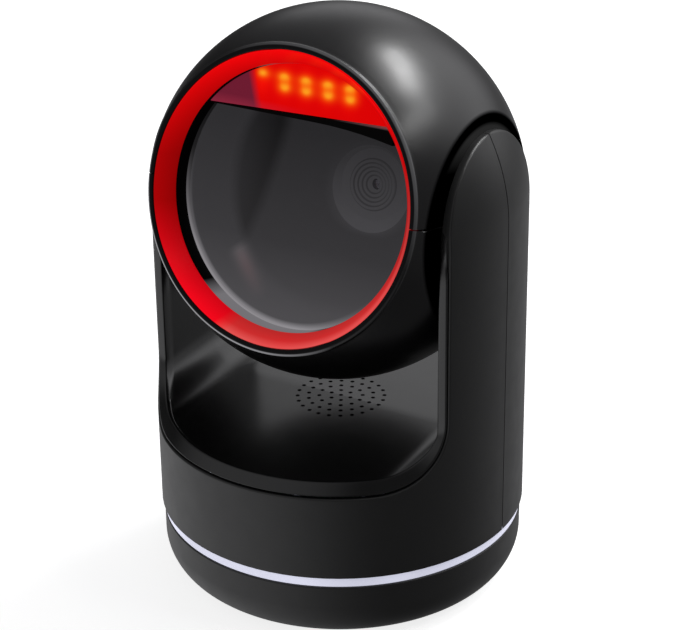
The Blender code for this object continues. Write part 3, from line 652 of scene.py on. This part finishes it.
def lens_glass():
    shader = Shader("Lens glass", "lens_glass")
    tint = shader.mix(shader.noise(0.3, 1.0), (0.02, 0.015, 0.03), (0.03, 0.02, 0.05))
    return shader.set(Base_Color=tint, Roughness=0.04, Specular_IOR_Level=0.8, Coat_Weight=1.0,
                      Coat_Roughness=0.02)


def rubber():
    shader = Shader("Rubber", "rubber")
    grain = shader.noise(3.0, 3.0)
    tone = shader.mix(grain, (0.018, 0.018, 0.018), (0.032, 0.032, 0.031))
    return shader.set(Base_Color=tone, Roughness=shader.spread(grain, 0.75, 0.92), Specular_IOR_Level=0.3,
                      Normal=shader.bump(grain, 0.02))


def steel():
    """Zinc-plated steel with fine rolling marks."""
    shader = Shader("Steel", "steel")
    stretch = shader.node("ShaderNodeMapping", {"Vector": shader.place(), "Scale": (0.4, 6.0, 0.4)})
    marks = shader.noise(1.0, 3.0, stretch.outputs[0])
    tone = shader.mix(marks, (0.42, 0.42, 0.44), (0.62, 0.62, 0.62))
    return shader.set(Base_Color=tone, Metallic=1.0, Roughness=shader.spread(marks, 0.25, 0.45),
                      Normal=shader.bump(marks, 0.004))


def circuit_green():
    """Circuit board: copper tracks under green resist, seen as a slightly lighter maze."""
    shader = Shader("Circuit green", "circuit_green")
    values = {"Vector": shader.place(), "Color1": (0.010, 0.085, 0.030), "Color2": (0.013, 0.105, 0.038),
              "Mortar": (0.030, 0.19, 0.07), "Scale": 0.35, "Mortar Size": 0.06}
    tracks = shader.node("ShaderNodeTexBrick", values)
    weave = shader.noise(2.5, 2.0)
    relief = shader.bump(tracks.outputs[1], 0.02, shader.bump(weave, 0.004))
    return shader.set(Base_Color=tracks.outputs[0], Roughness=shader.spread(weave, 0.3, 0.45), Normal=relief)


def flex_amber():
    """Flexible circuit: amber film with rows of copper tracks."""
    shader = Shader("Flex amber", "flex_amber")
    rows = shader.node("ShaderNodeTexWave", {"Vector": shader.place(), "Scale": 1.6, "Distortion": 0.0},
                       bands_direction="Y")
    tone = shader.mix(rows.outputs[1], (0.30, 0.11, 0.015), (0.50, 0.24, 0.05))
    return shader.set(Base_Color=tone, Roughness=0.35, Coat_Weight=0.4,
                      Normal=shader.bump(rows.outputs[1], 0.01))


def cone_paper():
    shader = Shader("Cone paper", "cone_paper")
    fibre = shader.noise(4.0, 5.0)
    tone = shader.mix(fibre, (0.025, 0.025, 0.025), (0.06, 0.058, 0.055))
    return shader.set(Base_Color=tone, Roughness=0.9, Normal=shader.bump(fibre, 0.03))


MATERIALS = {
    make.__name__: make()
    for make in (body_black, saddle_black, base_black, head_black, inner_black, hood_black, barrel_black,
                 bezel_black, band_white, ring_red, panel_red, led_orange, window_smoked, lens_glass, rubber,
                 steel, circuit_green, bush_plastic, flex_amber, cone_paper)
}


# ---------------------------------------------------------------- base


def build_base():
    centre_r = BASE_R - BASE_FILLET
    wall_r = BASE_FILLET - BASE_WALL
    low_angle = -math.degrees(math.asin((BASE_FILLET - BASE_LOW) / BASE_FILLET))
    floor_top = BASE_LOW + 2.2
    wall_angle = -math.degrees(math.asin((BASE_FILLET - floor_top) / wall_r))
    outline = [(0.0, BASE_LOW, 0.0)]
    outline += arc((centre_r, BASE_FILLET), BASE_FILLET, low_angle, 0, 20)
    outline += [(BASE_R, BASE_HIGH, 0.35), (BASE_R - BASE_WALL, BASE_HIGH, 0.2)]
    outline += arc((centre_r, BASE_FILLET), wall_r, 0, wall_angle, 8)
    outline += [(0.0, floor_top, 0.0)]
    feet = around(POST_RING_R, 4)
    screws = around(POST_RING_R, 4, math.pi / 4)
    mesh = cut(
        turned_mesh(outline, 192),
        cylinders_mesh(5.3, -1.0, BASE_LOW + 0.8, feet, 48),
        cylinders_mesh(3.0, -1.0, BASE_LOW + 1.1, screws, 32),
        cylinders_mesh(1.6, -1.0, floor_top + 1.0, screws, 24),
    )
    piece("base_shell", mesh, "base_black", "stand", "base_cover")
    for word, centre in zip(("right", "rear", "left", "front"), feet):
        pad = [(0.0, 0.0, 0.0), (3.6, 0.0, 0.15), (3.9, 0.25, 0.1), (4.2, 0.0, 0.15), (5.0, 0.0, 0.35),
               (5.0, 1.3, 0.1), (0.0, 1.3, 0.0)]
        mesh = turned_mesh(pad, 48, centre=centre)
        piece("pad_" + word, mesh, "rubber", "stand", "foot_" + word)


def build_band():
    shelf = BAND_LOW + 1.0
    outline = [(BAND_R, BAND_HIGH, 0.3), (BAND_R, BAND_LOW, 0.3), (34.6, BAND_LOW, 0.1), (34.6, shelf, 0.1),
               (41.2, shelf, 0.2), (41.2, BAND_HIGH, 0.2)]
    piece("band_diffuser", turned_mesh(outline, 192), "band_white", "stand", "light_band")


# ---------------------------------------------------------------- covers


def on_body(angle, z, depth):
    """A point depth below the body's surface, a cylinder that is domed above the pivot, at an angle from the
    front."""
    radius = BODY_R - depth
    y = -radius * math.cos(angle)
    rise = max(0.0, z - PIVOT_Z)
    return Vector((math.sqrt(max(0.0, radius**2 - y**2 - rise**2)), y, z))


def cover_edge(t, inset):
    """(angle, z) on the opening's edge, moved inset into the cover. t runs 0 to 1 over the crown, to 2 down
    the arm, to 3 round the corner and to 4 along the bottom edge to the middle."""
    arm = ARM_HALF_DEPTH - LIP_GAP_HALF - inset
    corner_r = OPENING_CORNER_R + LIP_GAP_HALF + inset
    if t <= 1:
        turn = t * math.pi / 2
        y = -max(arm * math.sin(turn), SEAM_HALF)
        z = CROWN_Z + arm * math.cos(turn)
    elif t <= 2:
        y = -arm
        z = CROWN_Z + (CORNER_Z - CROWN_Z) * (t - 1)
    elif t <= 3:
        turn = (t - 2) * math.pi / 2
        y = -CORNER_Y + corner_r * math.cos(turn)
        z = CORNER_Z - corner_r * math.sin(turn)
    else:
        return (4 - t) * math.acos(CORNER_Y / BODY_R), OPENING_Z - LIP_GAP_HALF - inset
    return math.acos(-y / BODY_R), z


def cover_far(t, inset):
    """(angle, z) on the cover's other edge: down the side seam to the foot of it, then along the bottom."""
    turn_t = 2.5
    bottom = COVER_LOW + inset
    seam_angle = math.acos((SEAM_HALF + inset) / BODY_R)
    if t <= 2:
        return seam_angle, cover_edge(t, 0.0)[1]
    if t <= turn_t:
        return seam_angle, max(bottom, CORNER_Z + (COVER_LOW - CORNER_Z) * (t - 2) / (turn_t - 2))
    return min(seam_angle, (4 - t) / (4 - turn_t) * math.pi / 2), bottom


def cover_ring(t):
    """One closed section of the cover's wall, from the far edge to the opening and back inside."""
    near, far = cover_edge(t, 0.0), cover_far(t, 0.0)
    width = math.hypot((near[0] - far[0]) * BODY_R, near[1] - far[1])
    fillet = min(0.45, width / 4)
    steps = 4
    ring = []
    for k in range(steps + 1):
        swing = k / steps * math.pi / 2
        angle, z = cover_far(t, fillet * (1 - math.sin(swing)))
        ring.append(on_body(angle, z, fillet * (1 - math.cos(math.pi / 2 - swing)) * 0.8))
    start, end = cover_far(t, fillet), cover_edge(t, fillet)
    spans = 12
    for k in range(1, spans):
        f = k / spans
        ring.append(on_body(start[0] + (end[0] - start[0]) * f, start[1] + (end[1] - start[1]) * f, 0.0))
    for k in range(steps + 1):
        swing = k / steps * math.pi / 2
        angle, z = cover_edge(t, fillet * (1 - math.sin(swing)))
        ring.append(on_body(angle, z, fillet * (1 - math.cos(swing))))
    crown_share = min(1.0, max(0.0, (1.15 - t) / 0.15))
    saddle_inset = 0.06 + 1.86 * math.cos(min(t, 1.0) * math.pi / 2)
    saddle_inset = min(saddle_inset, width * 0.45)
    for inset in (0.0, saddle_inset):
        angle, z = cover_edge(t, inset)
        step = on_body(angle, z, 0.9)
        step.x += (CHANNEL_HALF + 0.05 - step.x) * crown_share
        ring.append(step)
    start, end = cover_edge(t, saddle_inset + 0.05), cover_far(t, 0.0)
    spans = 8
    for k in range(spans + 1):
        f = k / spans
        depth = 1.2 + (COVER_WALL - 1.2) * min(1.0, 4 * f)
        point = on_body(start[0] + (end[0] - start[0]) * f, start[1] + (end[1] - start[1]) * f, depth)
        if z > CORNER_Z:
            point.x = max(point.x, CHANNEL_HALF + SADDLE_WALL + 0.1)
        ring.append(point)
    return ring


def cover_mesh(side):
    """Front (side -1) or rear (side 1) cover: sections from the left crown round the bottom to the right
    crown."""
    counts = ((0, 28), (1, 14), (2, 26), (3, 14))
    stations = [first + (i / count) for first, count in counts for i in range(count)]
    half = [cover_ring(t) for t in stations]
    middle = cover_ring(4.0)
    left = [[Vector((-p.x, p.y, p.z)) for p in ring] for ring in half]
    rings = left + [middle] + half[::-1]
    rows = [[(p.x, -side * p.y, p.z) for p in ring] for ring in rings]
    return grid_mesh(rows, wrap_columns=True, caps=True)


def build_covers():
    front = cover_mesh(-1)
    piece("front_shell", front, "body_black", "stand", "front_cover")
    window_low, window_high = (-6.6, 38.0, 22.4), (6.6, 50.0, 33.0)
    rear = cut(cover_mesh(1), rounded_box_mesh(window_low, window_high, 0.8))
    piece("rear_shell", rear, "body_black", "stand", "rear_cover")


# ---------------------------------------------------------------- saddle


def floor_z(y):
    return FLOOR_Z - FLOOR_SLOPE * abs(y)


def lip_edge(station, radius, inward):
    """The covers' front opening on a cylinder: stations 0 to 1 along the bottom, to 2 round the corner, to 3
    up the arm."""
    if station <= 1:
        turn = station * math.acos(CORNER_Y / BODY_R)
        return Vector((radius * math.sin(turn), -radius * math.cos(turn), OPENING_Z + inward))
    if station <= 2:
        turn = (station - 1) * math.pi / 2
        y = CORNER_Y - (OPENING_CORNER_R - inward) * math.sin(turn)
        z = CORNER_Z - (OPENING_CORNER_R - inward) * math.cos(turn)
    else:
        y = ARM_HALF_DEPTH + inward
        z = CORNER_Z + min(station - 2, 1.0) * (CROWN_Z - CORNER_Z)
    return Vector((math.sqrt(radius**2 - y**2), -y, z))


def channel_point(station, y, offset):
    """A point of the U between the arms at one depth, grown by offset; stations 3 to 4 run up the crown."""
    low = floor_z(y) + CHANNEL_CORNER_R
    corner_r = CHANNEL_CORNER_R + offset
    if station <= 1:
        return Vector((station * CHANNEL_CORNER_X, y, low - corner_r))
    if station <= 2:
        turn = (station - 1) * math.pi / 2
        return Vector((CHANNEL_CORNER_X + corner_r * math.sin(turn), y, low - corner_r * math.cos(turn)))
    if station <= 3:
        return Vector((CHANNEL_HALF + offset, y, low + (station - 2) * (CROWN_Z - low)))
    top = PIVOT_Z + math.sqrt(SADDLE_R**2 - CHANNEL_HALF**2) - 0.1
    share = math.sin((station - 3) * math.pi / 2)
    return Vector((CHANNEL_HALF + offset, y, CROWN_Z + share * (top - CROWN_Z)))


def channel_front(station, radius, offset):
    """Where the channel meets a cylinder or its dome at the front, then grown by offset."""
    point = channel_point(station, -radius * 0.95, min(offset, 0.0))
    rise = max(0.0, point.z - PIVOT_Z)
    y = -math.sqrt(max(0.0, radius**2 - point.x**2 - rise**2))
    return channel_point(station, y, offset)


def lip_section(station):
    """The front half of a saddle section: from under the lip, over its face and ridge, to the channel."""
    strip = min(1.0, max(0.0, (2.93 - station) / 0.14)) if station < 3 else 0.0
    strip = strip * strip * (3 - 2 * strip)
    ridge = channel_front(station, SADDLE_R + 0.1, -0.25)
    wall_edge = channel_front(station, SADDLE_R, SADDLE_WALL)
    wall_top = channel_front(station, SADDLE_R, 0.0)
    edge = lip_edge(station, LIP_R, LIP_GAP_HALF)
    behind = channel_front(station, SADDLE_R - 0.75, -0.25)
    groove = channel_front(station, SADDLE_R - 1.0, 0.0)
    along = (edge - ridge).normalized()
    back = (behind - ridge).normalized()
    soft = 0.5
    start, end = edge + back * soft, edge - along * soft
    points = bent(start, edge, end, 4)
    points.append(edge + (ridge - edge) * 0.6)
    roundness = 0.55
    points += bent(ridge + along * roundness, ridge, ridge + back * roundness * 0.7, 5)
    points += [behind, groove]
    plain = [wall_edge + (wall_top - wall_edge) * min(1.0, k / 7) for k in range(len(points) - 1)]
    plain.append(channel_front(station, SADDLE_R - 0.3, 0.0))
    return [plain[k] + (points[k] - plain[k]) * strip for k in range(len(points))]


def saddle_ring(station):
    front = lip_section(station)
    rows = (0.93, 0.8, 0.65, 0.5, 0.36, 0.24, 0.14, 0.05)
    groove_y = front[-1].y
    surface = [channel_point(station, groove_y * f, 0.0) for f in rows]
    rear = [Vector((p.x, -p.y, p.z)) for p in reversed(front + surface)]
    crest = channel_point(station, 0.0, 0.0)
    top = front + surface + [crest] + rear
    under_y = channel_front(station, SADDLE_R - 0.6, 0.0).y
    under = [channel_point(station, under_y * f, SADDLE_WALL) for f in (1.0, 0.6, 0.3, 0.0, -0.3, -0.6, -1.0)]
    return top + under[::-1]


def grille_centres():
    """A hole in the middle and rings of six more holes each."""
    centres = [(0.0, 0.0)]
    for ring in range(1, GRILLE_RINGS + 1):
        centres += around(ring * GRILLE_PITCH, 6 * ring)
    return centres


def build_saddle():
    counts = ((0, 10), (1, 18), (2, 26), (3, 20))
    stations = [first + i / count for first, count in counts for i in range(count)] + [3.999]
    right = [saddle_ring(station) for station in stations]
    left = [[Vector((-p.x, p.y, p.z)) for p in ring] for ring in right[:0:-1]]
    shell = grid_mesh(left + right, wrap_columns=True, caps=True)
    corners = around(POST_RING_R, 4, math.pi / 4)
    posts = cylinders_mesh(3.2, 3.4, 42.0, corners, 32)
    mesh = cut(shell, cylinders_mesh(GRILLE_HOLE_R, 40.0, 46.0, grille_centres(), 20))
    piece("saddle_shell", joined_mesh([mesh, posts]), "saddle_black", "stand", "saddle")


# ---------------------------------------------------------------- head


def head_side_profile():
    """(x, radius) of the ball turned about the tilt axis, from the left bore to the right bore."""
    outline = [(-HEAD_HALF, TRUNNION_BORE_R, 0.0), (-HEAD_HALF, DISC_R, 0.0)]
    edge_angle = math.degrees(math.asin(HEAD_HALF / HEAD_R))
    outline += arc((0.0, 0.0), HEAD_R, 90 + edge_angle, 90 - edge_angle, 120)[1:-1]
    outline += [(HEAD_HALF, DISC_R, 0.0), (HEAD_HALF, TRUNNION_BORE_R, 0.0)]
    return [(x, r) for x, r, _ in outline]


def softened_profile(profile, corner_x, reach, steps=5):
    """The profile with the corner between flat side and ball rounded over reach millimetres on each side."""
    made = []
    for x, r in profile:
        if abs(Vector((abs(x), r)).length - HEAD_R) < 0.01 and abs(x) > corner_x - reach * 0.75:
            if abs(abs(x) - corner_x) > 0.001:
                continue
        made.append((x, r))
    soft = []
    for i, (x, r) in enumerate(made):
        if abs(abs(x) - corner_x) > 0.001 or r < DISC_R - 0.01:
            soft.append((x, r))
            continue
        corner, before, after = Vector((x, r)), Vector(made[i - 1]), Vector(made[i + 1])
        start = corner + (before - corner).normalized() * min(reach, (before - corner).length)
        end = corner + (after - corner).normalized() * min(reach, (after - corner).length)
        soft += [tuple(point) for point in bent(start, corner, end, steps)]
    return soft


RIM_PROFILE = [
    (RIM_OUTER_R + dr, FACE_A + da)
    for dr, da in (
        (0.45, -1.51), (0.16, -1.12), (0.02, -0.88), (0.0, -0.65), (-0.03, -0.48), (-0.12, -0.32),
        (-0.26, -0.18), (-0.44, -0.07), (-0.65, 0.0), (-1.0, 0.02), (-1.3, 0.0), (-1.5, -0.04),
        (-1.61, -0.14), (-1.65, -0.3), (-1.65, -2.0),
    )
]


def head_shell_mesh(side):
    """Half of the head's shell, above (side 1) or below (side -1) the seam: the ball turned about the tilt
    axis, cut off at the front, where rings carry it over the rim, and closed by a smaller copy of itself."""
    profile = softened_profile(head_side_profile(), HEAD_HALF, 1.0)
    turns = 208
    front_a = 25.5
    bm = bmesh.new()
    rings = []
    for i in range(turns):
        turn = math.tau * (i + 0.5) / turns
        rings.append([bm.verts.new((x, r * math.sin(turn), r * math.cos(turn))) for x, r in profile])
    for i in range(turns):
        ring, following = rings[i], rings[(i + 1) % turns]
        for j in range(len(profile) - 1):
            bm.faces.new((ring[j], ring[j + 1], following[j + 1], following[j]))
    whole = bm.verts[:] + bm.edges[:] + bm.faces[:]
    bmesh.ops.bisect_plane(bm, geom=whole, plane_co=(0, 0, front_a), plane_no=(0, 0, 1), clear_outer=True,
                           dist=0.0005)
    chamfer = 0.30
    for height, clear in ((SEAM_HALF + chamfer, False), (SEAM_HALF, True)):
        whole = bm.verts[:] + bm.edges[:] + bm.faces[:]
        bmesh.ops.bisect_plane(bm, geom=whole, plane_co=(0, side * height, 0), plane_no=(0, -side, 0),
                               clear_outer=clear, dist=0.0005)
    for vert in bm.verts:
        if abs(abs(vert.co.y) - SEAM_HALF) < 0.001:
            vert.co = vert.co * (1 - 0.22 / HEAD_R)
    outer_faces = bm.faces[:]
    edges = [edge for edge in bm.edges if len(edge.link_faces) == 1]
    inner = {vert: bm.verts.new(vert.co * HEAD_INNER_SCALE) for vert in bm.verts[:]}
    for face in outer_faces:
        bm.faces.new([inner[vert] for vert in reversed(face.verts)])
    rim = {}

    def rim_ring(vert):
        if vert not in rim:
            spread = vert.co.xy.length
            x, y = vert.co.x / spread, vert.co.y / spread
            rim[vert] = [bm.verts.new((x * r, y * r, a)) for r, a in RIM_PROFILE]
        return [vert] + rim[vert] + [inner[vert]]

    for edge in edges:
        first, second = edge.verts
        if all(abs(vert.co.z - front_a) < 0.15 and vert.co.xy.length > 30 for vert in edge.verts):
            one, two = rim_ring(first), rim_ring(second)
            for k in range(len(one) - 1):
                bm.faces.new((one[k], one[k + 1], two[k + 1], two[k]))
        else:
            bm.faces.new((first, second, inner[second], inner[first]))
    ends = [edge for edge in bm.edges if len(edge.link_faces) == 1]
    bmesh.ops.edgenet_fill(bm, edges=ends)
    bmesh.ops.scale(bm, verts=bm.verts, vec=(MM, MM, MM))
    return clean_mesh(bm)


def build_head_shells():
    for side, word in ((1, "upper"), (-1, "lower")):
        mesh = head_shell_mesh(side)
        piece(f"ball_{word}", mesh, "head_black", "head", f"head_{word}_shell")


def build_face():
    front = FACE_A - 0.12
    outer_r = RECESS_R - 0.12
    ring = [(outer_r, front, 0.1), (outer_r, RING_BACK_A, 0.2), (RING_INNER_R, RING_BACK_A, 0.15),
            (RING_INNER_R + 0.1, RING_BACK_A + 0.5, 0.3), (RECESS_R - 0.35, front, 0.1)]
    piece("ring_light_guide", turned_mesh(ring, 192), "ring_red", "head", "red_light_ring")

    seat = WINDOW_A + 0.3
    bezel = [(BEZEL_BORE_R, RING_BACK_A - 0.3, 0.3), (BEZEL_R, RING_BACK_A - 0.3, 0.1),
             (BEZEL_R, BEZEL_FLANGE_A, 0.1), (BEZEL_FLANGE_R, BEZEL_FLANGE_A, 0.1),
             (BEZEL_FLANGE_R, BEZEL_BACK_A, 0.1), (WINDOW_R + 0.3, BEZEL_BACK_A, 0.1),
             (WINDOW_R + 0.3, seat, 0.1), (BEZEL_BORE_R, seat, 0.15)]
    ring_mesh = turned_mesh(bezel, 192)
    span = math.sqrt(PANEL_R**2 - CHORD_V**2)
    steps = 12
    spots = [-span + 2 * span * i / steps for i in range(steps + 1)]
    web_top = [(x, chord_height(x) - 0.1) for x in spots]
    web_foot = [(x, 18.2 - 0.0045 * max(0.0, x - 4.0) ** 2) for x in reversed(spots)]
    web = plate_mesh(web_top + web_foot, seat, WEB_FRONT_A, 0.05)
    piece("bezel_ring", joined_mesh([ring_mesh, web]), "bezel_black", "head", "window_bezel")

    pane = [(0.0, WINDOW_A, 0.0), (WINDOW_R, WINDOW_A, 0.25), (WINDOW_R, WINDOW_BACK_A, 0.25),
            (0.0, WINDOW_BACK_A, 0.0)]
    piece("window_pane", turned_mesh(pane, 160), "window_smoked", "head", "scan_window")


def chord_height(x):
    """The light panel's lower edge, which rises a little to the right."""
    return CHORD_V + 0.7 + 0.037 * x


def segment_outline(radius, count=48):
    """The part of a disc above the panel's lower edge."""
    rise = math.asin(chord_height(0.0) / radius)
    start, end = rise + 0.045, math.pi - rise + 0.032
    return [polar(radius, start + (end - start) * i / count) for i in range(count + 1)]


def plate_mesh(outline, low, high, fillet):
    """A flat outline given a thickness, with its edges rounded."""
    bm = bmesh.new()
    face = bm.faces.new([bm.verts.new(Vector((x, y, low)) * MM) for x, y in outline])
    raised = bmesh.ops.extrude_face_region(bm, geom=[face])["geom"]
    lifted = [item for item in raised if isinstance(item, bmesh.types.BMVert)]
    bmesh.ops.translate(bm, verts=lifted, vec=(0, 0, (high - low) * MM))
    bmesh.ops.recalc_face_normals(bm, faces=bm.faces)
    rims = [edge for edge in bm.edges if len(edge.link_faces) == 2 and edge.calc_face_angle() > 1.0]
    bmesh.ops.bevel(bm, geom=rims, offset=fillet * MM, segments=3, profile=0.5, affect="EDGES")
    return clean_mesh(bm)


def build_light_panel():
    mesh = plate_mesh(segment_outline(PANEL_R), PANEL_BACK_A, PANEL_FRONT_A, 0.2)
    piece("panel_filter", mesh, "panel_red", "head", "led_panel")
    dome = [(0.0, 20.85, 0.0), (0.9, 20.75, 0.4), (1.6, 20.3, 0.3), (1.7, 19.8, 0.1), (0.0, 19.8, 0.0)]
    for number, spot in enumerate(LED_SPOTS, 1):
        mesh = turned_mesh(dome, 32, centre=(spot, LED_V))
        piece(f"led_{number}_dome", mesh, "led_orange", "head", f"led_{number}")


def hood_ring(a, half_width, half_height, power, centre, count=72):
    """A ring between a circle (power 1) and a rounded rectangle (power towards 0)."""
    ring = []
    for i in range(count):
        angle = math.tau * i / count
        x = math.copysign(abs(math.cos(angle)) ** power, math.cos(angle)) * half_width
        y = math.copysign(abs(math.sin(angle)) ** power, math.sin(angle)) * half_height
        ring.append((centre[0] + x, centre[1] + y, a))
    return ring


def build_optics():
    middle = (0.0, 0.0)
    pocket = POCKET_CENTRE
    inside = [
        (16.2, 30.0, 30.0, 1.0, middle), (9.0, 29.9, 29.9, 1.0, middle), (2.6, 29.8, 29.8, 1.0, middle),
        (1.6, 28.9, 28.9, 0.98, middle), (-4.0, 25.5, 24.0, 0.8, middle), (-13.2, 19.5, 16.5, 0.45, middle),
        (-14.0, 18.6, 15.6, 0.45, middle), (-14.2, 10.7, 10.7, 1.0, pocket), (-14.5, 10.5, 10.5, 1.0, pocket),
        (-16.8, 10.4, 10.4, 1.0, pocket), (LENS_A, 10.1, 10.1, 1.0, pocket), (LENS_A, 8.2, 8.2, 1.0, middle),
    ]
    rings = [hood_ring(*section) for section in inside]
    outside = []
    for a, width, height, power, centre in reversed(inside):
        back = HOOD_WALL if a < 2 else 0.0
        outside.append(hood_ring(a - back, width + HOOD_WALL, height + HOOD_WALL, power, centre))
    mesh = grid_mesh(rings + outside, wrap_rows=True, wrap_columns=True)
    piece("hood_shell", mesh, "hood_black", "head", "optical_hood")

    barrel = [(RIDGE_INNER_R, LENS_A - 1.4, 0.1)]
    for ridge in range(RIDGES):
        r = RIDGE_INNER_R + RIDGE_STEP * ridge
        a = LENS_A - 0.9 + 0.3 * ridge
        crest = a + 0.75
        barrel += [(r + 0.1, crest, 0.12), (r + RIDGE_STEP * 0.6, crest, 0.12)]
        barrel.append((r + RIDGE_STEP * 0.7, a, 0.08))
    face_a = LENS_A + 0.5
    flange_a = LENS_A + 0.1
    bore_r = 2.6
    seat_a = LENS_A - 2.0
    barrel += [(RIDGE_OUTER_R, face_a, 0.1), (BARREL_FLANGE_R, face_a, 0.15),
               (BARREL_FLANGE_R, flange_a, 0.1), (BARREL_R, flange_a, 0.05), (BARREL_R, BARREL_BACK_A, 0.2),
               (bore_r, BARREL_BACK_A, 0.1), (bore_r, seat_a, 0.1), (RIDGE_INNER_R, seat_a, 0.1)]
    piece("barrel_ridged", turned_mesh(barrel, 96, 3), "barrel_black", "head", "lens_barrel")
    glass = arc((0.0, LENS_A - 7.6), 6.2, 90, 67, 8) + [(2.3, LENS_A - 3.5, 0.1), (0.0, LENS_A - 3.5, 0.0)]
    piece("lens_glass", turned_mesh(glass, 64), "lens_glass", "head", "lens")


# ---------------------------------------------------------------- carried-over CAD nodes


def finish_cad_nodes():
    """The pieces inside keep their CAD shapes and take the material of their slot."""
    finishes = {
        "steel": ("ballast_plate", "ballast_screw", "base_screw", "board_screw", "friction_washer",
                  "retaining_clip", "bezel_screw", "speaker_frame"),
        "circuit_green": ("band_led_board", "main_board", "led_board", "imager_board", "head_board"),
        "bush_plastic": ("pivot_bush", "trunnion"),
        "inner_black": ("cable_socket",),
        "flex_amber": ("head_flex_cable",),
        "cone_paper": ("speaker_cone",),
    }
    for slot, names in finishes.items():
        for name, node in frame["nodes"].items():
            if not node.hide_render and name.startswith(names):
                for index in range(len(node.material_slots)):
                    node.material_slots[index].material = MATERIALS[slot]


# ---------------------------------------------------------------- floor, light and camera


def build_floor():
    """A plain pale floor, seen by the camera alone: the studio sweep stands for it in reflections."""
    half = 1.5
    bm = bmesh.new()
    bmesh.ops.create_grid(bm, x_segments=8, y_segments=8, size=half)
    mesh = bpy.data.meshes.new("floor")
    bm.to_mesh(mesh)
    bm.free()
    shader = Shader("Floor", "floor")
    grain = shader.noise(0.02, 2.0)
    tone = shader.mix(grain, (0.56, 0.56, 0.56), (0.60, 0.60, 0.60))
    shader.set(Base_Color=tone, Roughness=0.9, Specular_IOR_Level=0.0, Emission_Color=(1.0, 1.0, 1.0),
               Emission_Strength=0.80)
    mesh.materials.append(shader.material)
    floor = bpy.data.objects.new("floor", mesh)
    bpy.context.scene.collection.objects.link(floor)
    floor.visible_glossy = False
    floor.visible_diffuse = False


def bearing_vector(azimuth, elevation):
    """The direction of a bearing round the object: azimuth 0 is in front and 90 to the right, in degrees."""
    a, e = math.radians(azimuth), math.radians(elevation)
    return Vector((math.sin(a) * math.cos(e), -math.cos(a) * math.cos(e), math.sin(e)))


def build_world():
    """A white sweep as the object sees it: bright in front on the left and behind, dark on the right."""
    world = bpy.data.worlds.new("Studio")
    world.use_nodes = True
    bpy.context.scene.world = world
    studio = Nodes(world.node_tree)
    direction = studio.node("ShaderNodeTexCoord").outputs["Generated"]

    def lobe(azimuth, elevation, low, high, strength):
        """Light from round a bearing, over the cosine of the angle from it."""
        bearing = bearing_vector(azimuth, elevation)
        along = studio.node("ShaderNodeVectorMath", {0: direction, 1: bearing}, operation="DOT_PRODUCT")
        return studio.spread(along.outputs[1], 0.0, strength, low, high, interpolation_type="SMOOTHSTEP")

    def lobes(least, *rows):
        """The sum of several lobes over the least light there is."""
        return studio.total(*[(lobe(*row), 1.0) for row in rows], add=least)

    below = lobe(0.0, -90.0, 0.05, 0.40, 1.0)
    table = studio.times(below, lobes(0.06, (-55.0, 0.0, -0.35, 1.0, 0.88), (168.0, 0.0, 0.3, 1.0, 0.34)))
    back_walls = lobes(0.035, (-175.0, 40.0, 0.55, 1.0, 0.27), (-152.0, 18.0, 0.95, 0.995, 0.50))
    right_walls = lobes(0.0, (152.0, 34.0, 0.74, 1.0, 1.15), (143.0, 4.0, 0.95, 1.0, 0.7))
    front_fill = lobes(0.0, (-30.0, 32.0, 0.40, 1.0, 0.45), (88.0, 10.0, 0.6, 1.0, 0.15))
    level = studio.total((table, 1.0), (back_walls, 1.0), (right_walls, 1.0), add=front_fill)
    seen = studio.node("ShaderNodeLightPath").outputs["Is Camera Ray"]
    strength = studio.node("ShaderNodeMix", {0: seen, 2: level, 3: 1.0}, data_type="FLOAT")
    background = studio.tree.nodes["Background"]
    studio.put(background.inputs["Color"], (1.0, 1.0, 1.02))
    studio.put(background.inputs["Strength"], strength.outputs[0])


def softbox(name, azimuth, elevation, distance, width, height, power, aim=(0.0, 0.0, 0.08)):
    """A soft light at a bearing round the object, in metres and watts."""
    away = bearing_vector(azimuth, elevation)
    data = bpy.data.lights.new(name, "AREA")
    data.shape = "RECTANGLE"
    data.size, data.size_y = width, height
    data.energy = power
    light = bpy.data.objects.new(name, data)
    light.location = Vector(aim) + away * distance
    light.rotation_mode = "QUATERNION"
    light.rotation_quaternion = away.to_track_quat("Z", "Y")
    bpy.context.scene.collection.objects.link(light)


def build_lights():
    softbox("top_right_light", 150.0, 57.0, 1.0, 0.50, 0.15, 5.4)
    softbox("side_light", 105.0, 47.0, 1.0, 0.50, 0.12, 1.6)


def build_camera():
    """The view from the front right, above the head: metres, degrees and a 36 mm wide sensor."""
    target = Vector((0.0, 0.0, 0.0657))
    back = bearing_vector(*CAMERA_BEARING)
    right = bearing_vector(CAMERA_BEARING[0] + 90.0, 0.0)
    up = back.cross(right)
    rolled_right = right * math.cos(CAMERA_ROLL) + up * math.sin(CAMERA_ROLL)
    rolled_up = up * math.cos(CAMERA_ROLL) - right * math.sin(CAMERA_ROLL)
    data = bpy.data.cameras.new("camera")
    data.sensor_width = 36.0
    data.lens = 119.14
    data.clip_start, data.clip_end = 0.01, 20.0
    camera = bpy.data.objects.new("camera", data)
    columns = Matrix((rolled_right, rolled_up, back)).transposed()
    camera.matrix_world = Matrix.Translation(target + back * CAMERA_DISTANCE) @ columns.to_4x4()
    bpy.context.scene.collection.objects.link(camera)
    bpy.context.scene.camera = camera


# ---------------------------------------------------------------- the scene

build_base()
build_band()
build_covers()
build_saddle()
build_head_shells()
build_face()
build_light_panel()
build_optics()
finish_cad_nodes()
build_floor()
build_world()
build_lights()
build_camera()

scene = bpy.context.scene
scene.view_settings.view_transform = "Standard"
scene.view_settings.look = "None"
